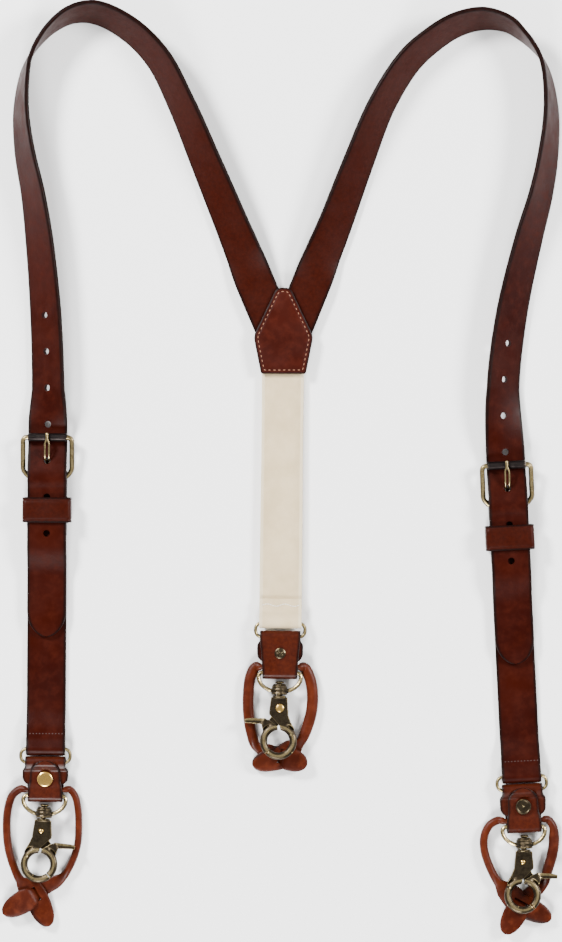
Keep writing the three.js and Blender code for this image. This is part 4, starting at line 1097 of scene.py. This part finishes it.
def keeper_loop(name):
    """A leather band sewn into a loop; its edges are rounded and its corners are bent, not cut."""
    inner_width = STRAP_WIDTH + 2 * KEEPER_SIDE
    inner_top = STACKED_Z + STRAP_HALF + GAP
    inner_height = inner_top - KEEPER_WALL
    middle_z = KEEPER_WALL + inner_height / 2
    outline = rounded_rectangle(inner_width + KEEPER_WALL, inner_height + KEEPER_WALL, 1.6, 9, 12)
    stations, run = [], 0.0
    for i, (x, z) in enumerate(outline):
        before, after = outline[i - 1], outline[(i + 1) % len(outline)]
        along = Vector((after[0] - before[0], 0, after[1] - before[1])).normalized()
        outward = Vector((along.z, 0, -along.x))
        bulge = 0.7 * math.cos(math.pi * x / inner_width) if z > 0 and abs(x) < inner_width / 2 else 0.0
        run += (Vector((x, z)) - Vector(before)).length
        at = Vector((x, KEEPER_Y, middle_z + z + bulge * 0.5))
        stations.append(Station(at, Vector((0, 1, 0)), outward, KEEPER_HEIGHT, KEEPER_WALL, run))
    part = sweep(stations, lambda s: band(s.width, s.height, 0.7, groove=1.9), True)
    finished(f"{name}_keeper_leather", part, side_matrix(name),
             STRAP_LEATHER, f"{name}_keeper", "tab_leather", f"{name}_keeper_loop")


# ---------------------------------------------------------------- ring, tab and rivet
def ring(name):
    """The oblong ring between a strap's end and its tab."""
    outline = rounded_rectangle(RING_WIDTH - RING_WIRE, RING_HEIGHT - RING_WIRE, RING_CORNER, 14, 14)
    part = sweep(loop_stations(outline, RING_WIRE), wire(18), True)
    finished(f"{name}_ring_wire", part, end_matrix(name),
             BRASS, f"{name}_ring_body", "antique_brass", f"{name}_ring")


def tab(name):
    """The strip folded through the ring and round the eye bar, with its bell end and its tongue."""
    fold_y = TAB_THICKNESS + FOLD_INNER - ENDS[name]["fold"]
    cord = cord_y(name)
    bell_end = cord + CORD_SQUEEZED / 2 + 2 * GAP
    over = TAB_WRAP + TAB_THICKNESS + GAP
    b = TAB_BELL
    # how far in from the bell's end, and how much narrower than the bell
    bell = [(0.5, 12), (1.1, 7.6), (2.2, 4), (3.7, 1.5), (5.4, 0.4)]
    path = [(bell_end + y, BELL_Z, b - narrower) for y, narrower in bell]
    path += [(-BAR_Y - 6.6, BELL_Z, b), (-BAR_Y - 5.0, mix(BELL_Z, TAB_WRAP, 0.12), b - 0.3),
             (-BAR_Y - 3, mix(BELL_Z, TAB_WRAP, 0.62), TAB_NECK + 0.9)]
    path += arc(-BAR_Y, 0, TAB_WRAP, 90, -90, TAB_NECK + 0.4, 10)
    path += [(RIVET_Y, STRIP_Z, (TAB_NECK + TAB_FOLD) / 2), (fold_y + 3, STRIP_Z, TAB_FOLD)]
    path += arc(fold_y, FOLD_Z, FOLD_RADIUS, -90, -270, TAB_FOLD - 0.4, 12)
    path += [(cord + 0.6, FOLD_Z + FOLD_RADIUS, TAB_FOLD - 0.9),
             (cord + 3.6, TONGUE_Z + 0.25, TAB_TONGUE + 1.3), (cord + 5.4, TONGUE_Z, TAB_TONGUE + 0.4),
             (-BAR_Y - 5.2, TONGUE_Z, TAB_TONGUE - 0.6),
             (-BAR_Y - 3.0, mix(TONGUE_Z, over, 0.5), TAB_TONGUE - 2.2), (-BAR_Y - 1, over, TAB_TONGUE - 5.6),
             (-BAR_Y + 0.6, over + 0.1, TAB_TONGUE - 10.5), (-BAR_Y + 1.3, over + 0.1, 4.5)]
    path = [(y + FOLD_SLACK * smooth((y + BAR_Y) / TAB_WRAP), z, w) for y, z, w in path]
    stations = softened(folded(path, TAB_THICKNESS, 0.5), 0.6)
    part = sweep(stations, lambda s: band(s.width, s.height, 0.75))
    matrix = end_matrix(name)
    piece = new_object(f"{name}_tab_leather", *placed(part, matrix))
    axis = matrix.to_3x3() @ Vector((0, 0, 1))
    cut_by(piece, straight_tool(RIVET_SHAFT / 2 + GAP, 30, matrix @ Vector((0, RIVET_Y, 0)), axis))
    dressed(piece, TAB_LEATHER, f"{name}_tab_body", "tab_leather", f"{name}_tab")


def rivet(name):
    """Cap: a shallow dome with a rolled rim. Stud: a domed back with the star of its set end."""
    seat = TONGUE_Z + TAB_THICKNESS / 2 + CAP_GAP
    r, h = RIVET_CAP / 2, RIVET_CAP_HEIGHT
    if name == "left":
        crown = [(0, seat + h), (r * 0.45, seat + h * 0.99), (r * 0.8, seat + h * 0.9),
                 (r * 0.95, seat + h * 0.68)]
    else:
        crown = [(0, seat + h * 0.92), (0.35, seat + h * 0.9), (0.7, seat + h * 0.72),
                 (r * 0.5, seat + h * 0.74), (r * 0.74, seat + h * 0.72), (r * 0.82, seat + h * 0.95),
                 (r * 0.9, seat + h), (r * 0.97, seat + h * 0.85)]
    socket = RIVET_SHAFT / 2 + GAP
    profile = crown + [(r, seat + h * 0.4), (r, seat + 0.12), (r - 0.15, seat), (socket, seat),
                       (socket, seat + h / 2), (0, seat + h / 2)]
    matrix = end_matrix(name) @ Matrix.Translation((0, RIVET_Y, 0))
    bright = name == "left"
    slot = "bright_brass" if bright else "antique_brass"
    cap = turned(rounded_profile(profile, 0.3), 56)
    finished(f"{name}_rivet_dome", cap, matrix,
             BRIGHT_BRASS if bright else BRASS, f"{name}_tab_body", slot, f"{name}_rivet_cap")
    base = STRIP_Z - TAB_THICKNESS / 2 - GAP
    top = seat + h / 2 - GAP
    back, shaft = RIVET_BACK / 2, RIVET_SHAFT / 2
    profile = [(0, base - RIVET_BACK_HEIGHT * 0.7), (0.5, base - RIVET_BACK_HEIGHT * 0.75),
               (back * 0.45, base - RIVET_BACK_HEIGHT), (back * 0.75, base - RIVET_BACK_HEIGHT * 0.85),
               (back, base - RIVET_BACK_HEIGHT * 0.3), (back, base), (shaft, base), (shaft, top), (0, top)]
    part = turned(rounded_profile(profile, 0.25), 60)
    points = part[0]
    for p in points:
        radius = math.hypot(p.x, p.y)
        if p.z < base - 0.1 and 0.3 < radius < back * 0.8:
            star = max(0.0, math.cos(5 * math.atan2(p.y, p.x))) ** 3
            p.z += 0.32 * star * math.sin(math.pi * radius / (back * 0.8))
    finished(f"{name}_rivet_back", part, matrix,
             BRASS, f"{name}_tab_body", "antique_brass", f"{name}_rivet_stud")


# ---------------------------------------------------------------- button loops
def along_table(table, position):
    """A value read off (position, value) pairs with a smooth curve through them."""
    positions = [p for p, _ in table]
    position = min(max(position, positions[0]), positions[-1])
    i = max(k for k in range(len(table) - 1) if positions[k] <= position)
    (x1, y1), (x2, y2) = table[i], table[i + 1]
    slope = (y2 - y1) / (x2 - x1)
    before = (y1 - table[i - 1][1]) / (x1 - positions[i - 1]) if i else slope
    after = (table[i + 2][1] - y2) / (positions[i + 2] - x2) if i + 2 < len(table) else slope
    m1 = 0.0 if before * slope <= 0 else 2 * before * slope / (before + slope)
    m2 = 0.0 if after * slope <= 0 else 2 * after * slope / (after + slope)
    t, h = (position - x1) / (x2 - x1), x2 - x1
    return (y1 * (2 * t ** 3 - 3 * t * t + 1) + m1 * h * (t ** 3 - 2 * t * t + t)
            + y2 * (3 * t * t - 2 * t ** 3) + m2 * h * (t ** 3 - t * t))


def loop_branch(name, which, leaf_points, away, levels, leaf_table):
    """One half of a button loop: cord from the tab's fold, flattening into its leaf."""
    side = -1 if which == "left" else 1
    start_z, cord_z, leaf_z = levels
    y = cord_y(name)
    edge = TAB_FOLD / 2
    route = LOOPS[name][which]
    points = [(-side * 0.4, y, start_z), (side * (edge + 0.4), y, start_z)]
    points += [(px, py, cord_z) for px, py in route[:-1]]
    points += [(*route[-1], mix(cord_z, leaf_z[0], 0.6))]
    joint = len(points) - 1
    points += [(*p, z) for p, z in zip(leaf_points, leaf_z)]
    steps, cord_rows, leaf_rows, clear = 12, 70, 44, 99
    curve = Curve(points, 3, steps)
    leaf_start = curve.lengths[joint * steps]
    leaf_length = curve.length - leaf_start
    low, high = min(p[2] for p in points), max(p[2] for p in points)
    runs = [leaf_start * k / cord_rows for k in range(cord_rows)]
    runs += [leaf_start + leaf_length * math.sin(math.pi / 2 * k / leaf_rows) for k in range(leaf_rows + 1)]
    girth, flange, flange_start = CORDS[name][which]
    stations, facts = [], {}
    for run in runs:
        at = Vector(curve.at(run)[:3])
        at.z = min(max(at.z, low), high)
        along = curve.direction(min(max(run, 0.5), curve.length - 0.5), 0.5)
        across = Vector((along.y, -along.x, 0)).normalized()
        inner = 1 if across.x * side < 0 else -1
        # the cord is squeezed only where it lies inside the tab's fold, near its start
        reach = abs(at.x) if run < leaf_start * 0.4 else clear
        grip = smooth((reach - edge - 0.3) / 1.6) * 0.62 + smooth((reach - edge - 1.5) / 4.0) * 0.38
        thick = mix(CORD_SQUEEZED, CORD_DIAMETER, grip)
        wide = mix(CORD_SQUEEZED, girth, grip)
        share = run / leaf_start
        seam = flange * smooth((share - flange_start) / 0.16) * (1 - 0.6 * smooth((share - 0.8) / 0.2))
        flat = smooth((run - leaf_start + 7) / 12)
        leaf_width = along_table(leaf_table, max((run - leaf_start) / leaf_length, 0.0))
        width = mix(wide + seam, leaf_width, flat)
        height = mix(thick, LEAF_THICKNESS, flat)
        shift = (seam / 2 - max(girth - CORD_DIAMETER, 0) * 0.5 * grip) * inner * (1 - flat)
        station = Station(at + across * shift, across, across.cross(along).normalized(), width, height, run)
        facts[id(station)] = (flat, inner, seam / max(wide + seam, 1e-6) * (1 - flat))
        stations.append(station)

    def outline(s):
        flat, inner, seam = facts[id(s)]
        out = []
        for x, z, r in rolled(s.width, s.height, flat, 32):
            place = 2 * x / s.width * inner
            fall = smooth((place - (1 - 2.2 * seam)) / 1.1) if seam > 0.02 else 0.0
            z *= 1 - 0.45 * fall
            z -= away * 0.4 * flat * place * place
            # the sunk flange also takes a rim value, so the leather paints shade on it beside the cord
            out.append((x, z, max(r, fall)))
        return out

    return sweep(stations, outline)


def button_loop(name):
    """Two leaves, one drawn through the slit in the other, and the seams on their cords."""
    route = LOOPS[name]
    flipped = ENDS[name]["flip"] != 0
    table, away = (BACK_Z, -1) if flipped else (-FRONT_Z, 1)

    def level(height):
        return table + away * height

    level1, level2 = level(LEAF_THICKNESS / 2 + 0.15), level(LEAF_THICKNESS * 1.5 + GAP)
    level3 = level(LEAF_THICKNESS * 2.5 + 2 * GAP)
    laid = level(CORD_DIAMETER / 2 + 0.4)
    knot, tip_a, tip_b = (Vector(route[key]) for key in ("knot", "tipA", "tipB"))
    start_a, start_b = Vector(route["left"][-1]), Vector(route["right"][-1])
    to_tip = (tip_b - knot).normalized()
    before, after = knot - to_tip * 2.2, knot + to_tip * 2.4
    full = LEAF_WIDTH + 0.5
    leaf_a = loop_branch(
        name, "left", [start_a.lerp(knot, 0.6), knot, knot.lerp(tip_a, 0.5), tip_a], away,
        (FOLD_Z, laid, (level2, level2, level2, level2)),
        [(0, CORD_DIAMETER + 1), (0.16, full * 0.84), (0.34, full), (0.6, full * 0.98), (0.76, full * 0.9),
         (0.87, full * 0.74), (0.94, full * 0.54), (0.98, full * 0.34), (1, 1.2)],
    )
    leaf_b = loop_branch(
        name, "right", [start_b.lerp(before, 0.6), before, after, after.lerp(tip_b, 0.5), tip_b], away,
        (FOLD_Z, laid, (level1, level1, level3, level3, level3)),
        [(0, CORD_DIAMETER + 1), (0.18, LEAF_NECK), (0.42, LEAF_NECK), (0.54, full * 0.82), (0.66, full),
         (0.8, full * 0.92), (0.89, full * 0.76), (0.95, full * 0.55), (0.985, full * 0.34), (1, 1.2)],
    )
    matrix = end_matrix(name)
    slit_leaf = new_object("slit_leaf", *placed(leaf_a, matrix))
    half, depth = LEAF_NECK / 2 + GAP, 2.6
    tool = box_tool((-half, -depth, -6), (half, depth, 6))
    angle = math.degrees(math.atan2(to_tip.y, to_tip.x)) + 90
    place = matrix @ Matrix.Translation((*knot, level2)) @ turn("Z", angle)
    tool.data.transform(Matrix.Translation(place.translation * MM) @ place.to_3x3().to_4x4())
    cut_by(slit_leaf, tool)
    piece = new_object(f"{name}_button_loop_leather", *placed(leaf_b, matrix))
    union = piece.modifiers.new("join", "BOOLEAN")
    union.operation, union.solver, union.object = "UNION", "EXACT", slit_leaf
    modified(piece)
    bpy.data.objects.remove(slit_leaf)
    piece.data.set_sharp_from_angle(angle=SHARP_ANGLE)
    dressed(piece, LOOP_LEATHER, f"{name}_loop_body", "loop_leather", f"{name}_button_loop")
    for which in route["seams"]:
        loop_seam(name, which, laid, away, matrix)


def loop_seam(name, which, laid, away, matrix):
    """The stitched seam on the inner flange of a folded cord."""
    side = -1 if which == "left" else 1
    curve = Curve([(px, py, laid) for px, py in LOOPS[name][which]], 3, 12)
    _, flange, flange_start = CORDS[name][which]
    first, last, pitch = curve.length * max(flange_start, 0.12), curve.length - 9, 2.6
    turn_matrix = matrix.to_3x3()
    spots = []
    for k in range(int((last - first) / pitch)):
        run = first + k * pitch
        at = Vector(curve.at(run)[:3])
        along = curve.direction(run)
        across = Vector((along.y, -along.x, 0)).normalized()
        inward = across if across.x * side < 0 else -across
        upward = Vector((0, 0, away))
        outward_up = (inward * 0.42 + upward * 0.907).normalized()
        place = at + inward * (CORD_DIAMETER / 2 * 0.3 + flange * 0.5) + upward * CORD_DIAMETER * 0.385
        slant = (along + outward_up.cross(along) * (0.7 if k % 2 else -0.7)).normalized()
        spots.append((matrix @ place, turn_matrix @ slant, turn_matrix @ outward_up))
    stitches(f"{name}_{which}_loop_seam", spots, DARK_THREAD, f"{name}_loop_body", "loop_leather", 2.0, 0.75)


# ---------------------------------------------------------------- swivel hooks
def cast(node, local, body, shape, voxel, passes):
    """A cast piece made from its frame node: one skin with softened edges, shaped in its own frame."""
    metres = Matrix.Translation(local.translation * MM) @ local.to_3x3().to_4x4()
    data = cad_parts[node].data.copy()
    data.transform(metres.inverted())
    piece = bpy.data.objects.new(f"{node}_cast", data)
    bpy.context.scene.collection.objects.link(piece)
    skin = piece.modifiers.new("skin", "REMESH")
    skin.mode, skin.voxel_size, skin.adaptivity = "VOXEL", voxel * MM, 0.0
    soften = piece.modifiers.new("soften", "SMOOTH")
    soften.factor, soften.iterations = 0.5, passes
    modified(piece)
    # the shape also gives each point how bright to paint it: the rim attribute, a painted highlight on the
    # crowns
    bright = [0.0] * len(piece.data.vertices)
    for i, vertex in enumerate(piece.data.vertices):
        moved, bright[i] = shape(vertex.co / MM)
        vertex.co = moved * MM
    piece.data.attributes.new("rim", "FLOAT", "POINT").data.foreach_set("value", bright)
    piece.data.transform(metres)
    piece.data.polygons.foreach_set("use_smooth", [True] * len(piece.data.polygons))
    return dressed(piece, BRASS, body, "antique_brass", node)


def crowned_jaw(p):
    """Rounds the jaw's flat ring toward an oval bar; paints a highlight on its crown and brightens the
    lever's top edge.
    """
    out = p.copy()
    above = p.y - JAW_Y
    reach = math.hypot(p.x, above)
    middle, half = (JAW_OUTER + JAW_INNER) / 2, (JAW_OUTER - JAW_INNER) / 2 + 0.12
    inside = 1 - smooth((reach - JAW_OUTER - 0.1) / 1.2)
    inside *= 1 - smooth((above - 8.9) / 2.4)
    offset = min(abs(reach - middle) / half, 1.0)
    oval = math.sqrt(1 - offset * offset)
    out.z *= mix(1.0, mix(0.22, 1.08, oval), inside)
    lever = smooth((p.x - 9) / 3) * smooth((above - 10) / 1.5)
    out.z *= mix(1.0, 0.82, lever)
    crown = inside * smooth((0.42 - offset) / 0.34) ** 2
    top_edge = lever * smooth((above - 12.6) / 0.9)
    return out, max(crown, 0.8 * top_edge) * smooth((abs(p.z) - 1.0) / 0.6)


def ribbed_hub(p):
    """Soft ribs round the eye's hub; a highlight is painted along the crown of the eye's wire."""
    out = p.copy()
    radius = math.hypot(p.x, p.z)
    if -HUB_BOTTOM < p.y < -HUB_TOP - 1.5 and 2.6 < radius < 6:
        rib = 0.16 * math.sin(2 * math.pi * (p.y + HUB_BOTTOM) / 2.4)
        out.x *= 1 + rib / radius
        out.z *= 1 + rib / radius
    wire_crown = smooth((abs(p.z) - EYE_WIRE * 0.24) / 0.6) * smooth((abs(p.x) - 5.5) / 1.0)
    return out, 0.85 * wire_crown


def hook(name):
    """The cast eye, body and gate, the gate's rivet, and the frame's own spring in steel."""
    swivel = swivel_matrix(name)
    body = f"{name}_hook"
    cast(f"{name}_hook_eye", hook_matrix(name), f"{name}_eye_body", ribbed_hub, 0.26, 6)
    cast(f"{name}_hook_body", swivel, body, crowned_jaw, 0.24, 7)
    cast(f"{name}_hook_gate", swivel, f"{name}_gate", crowned_jaw, 0.24, 6)
    front = BODY_THICKNESS / 2
    seat = -front - GAP
    profile = [(0, seat - PIN_HEAD_HEIGHT), (PIN_HEAD * 0.5, seat - PIN_HEAD_HEIGHT * 0.92),
               (PIN_HEAD * 0.85, seat - PIN_HEAD_HEIGHT * 0.6), (PIN_HEAD, seat - 0.15), (PIN_HEAD, seat),
               (PIN_RADIUS, seat), (PIN_RADIUS, front - 0.1), (PIN_RADIUS + 0.3, front + 0.05),
               (PIN_RADIUS + 0.3, front + 0.5), (PIN_RADIUS * 0.7, front + 0.85), (0, front + 1.0)]
    matrix = swivel @ Matrix.Translation((PIN_X, PIN_Y, 0))
    rivet_part = turned(rounded_profile(profile, 0.2), 40)
    finished(f"{name}_gate_rivet", rivet_part, matrix,
             BRIGHT_BRASS, body, "bright_brass", f"{name}_gate_pin")
    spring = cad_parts[f"{name}_gate_spring"]
    spring.data.materials.clear()
    spring.data.materials.append(SPRING_STEEL)


make_camera()
make_stage()
for side_name in SIDES:
    shoulder_strap(side_name)
    lower_strap(side_name)
    buckle_frame(side_name)
    buckle_roller(side_name)
    buckle_prong(side_name)
    keeper_loop(side_name)
yoke_patch("outer", 0.0, -1)
yoke_patch("inner", YOKE_STRAP_LIFT + STRAP_THICKNESS + GAP, 1)
elastic_band()
for end_name in ENDS:
    ring(end_name)
    tab(end_name)
    rivet(end_name)
    button_loop(end_name)
    hook(end_name)
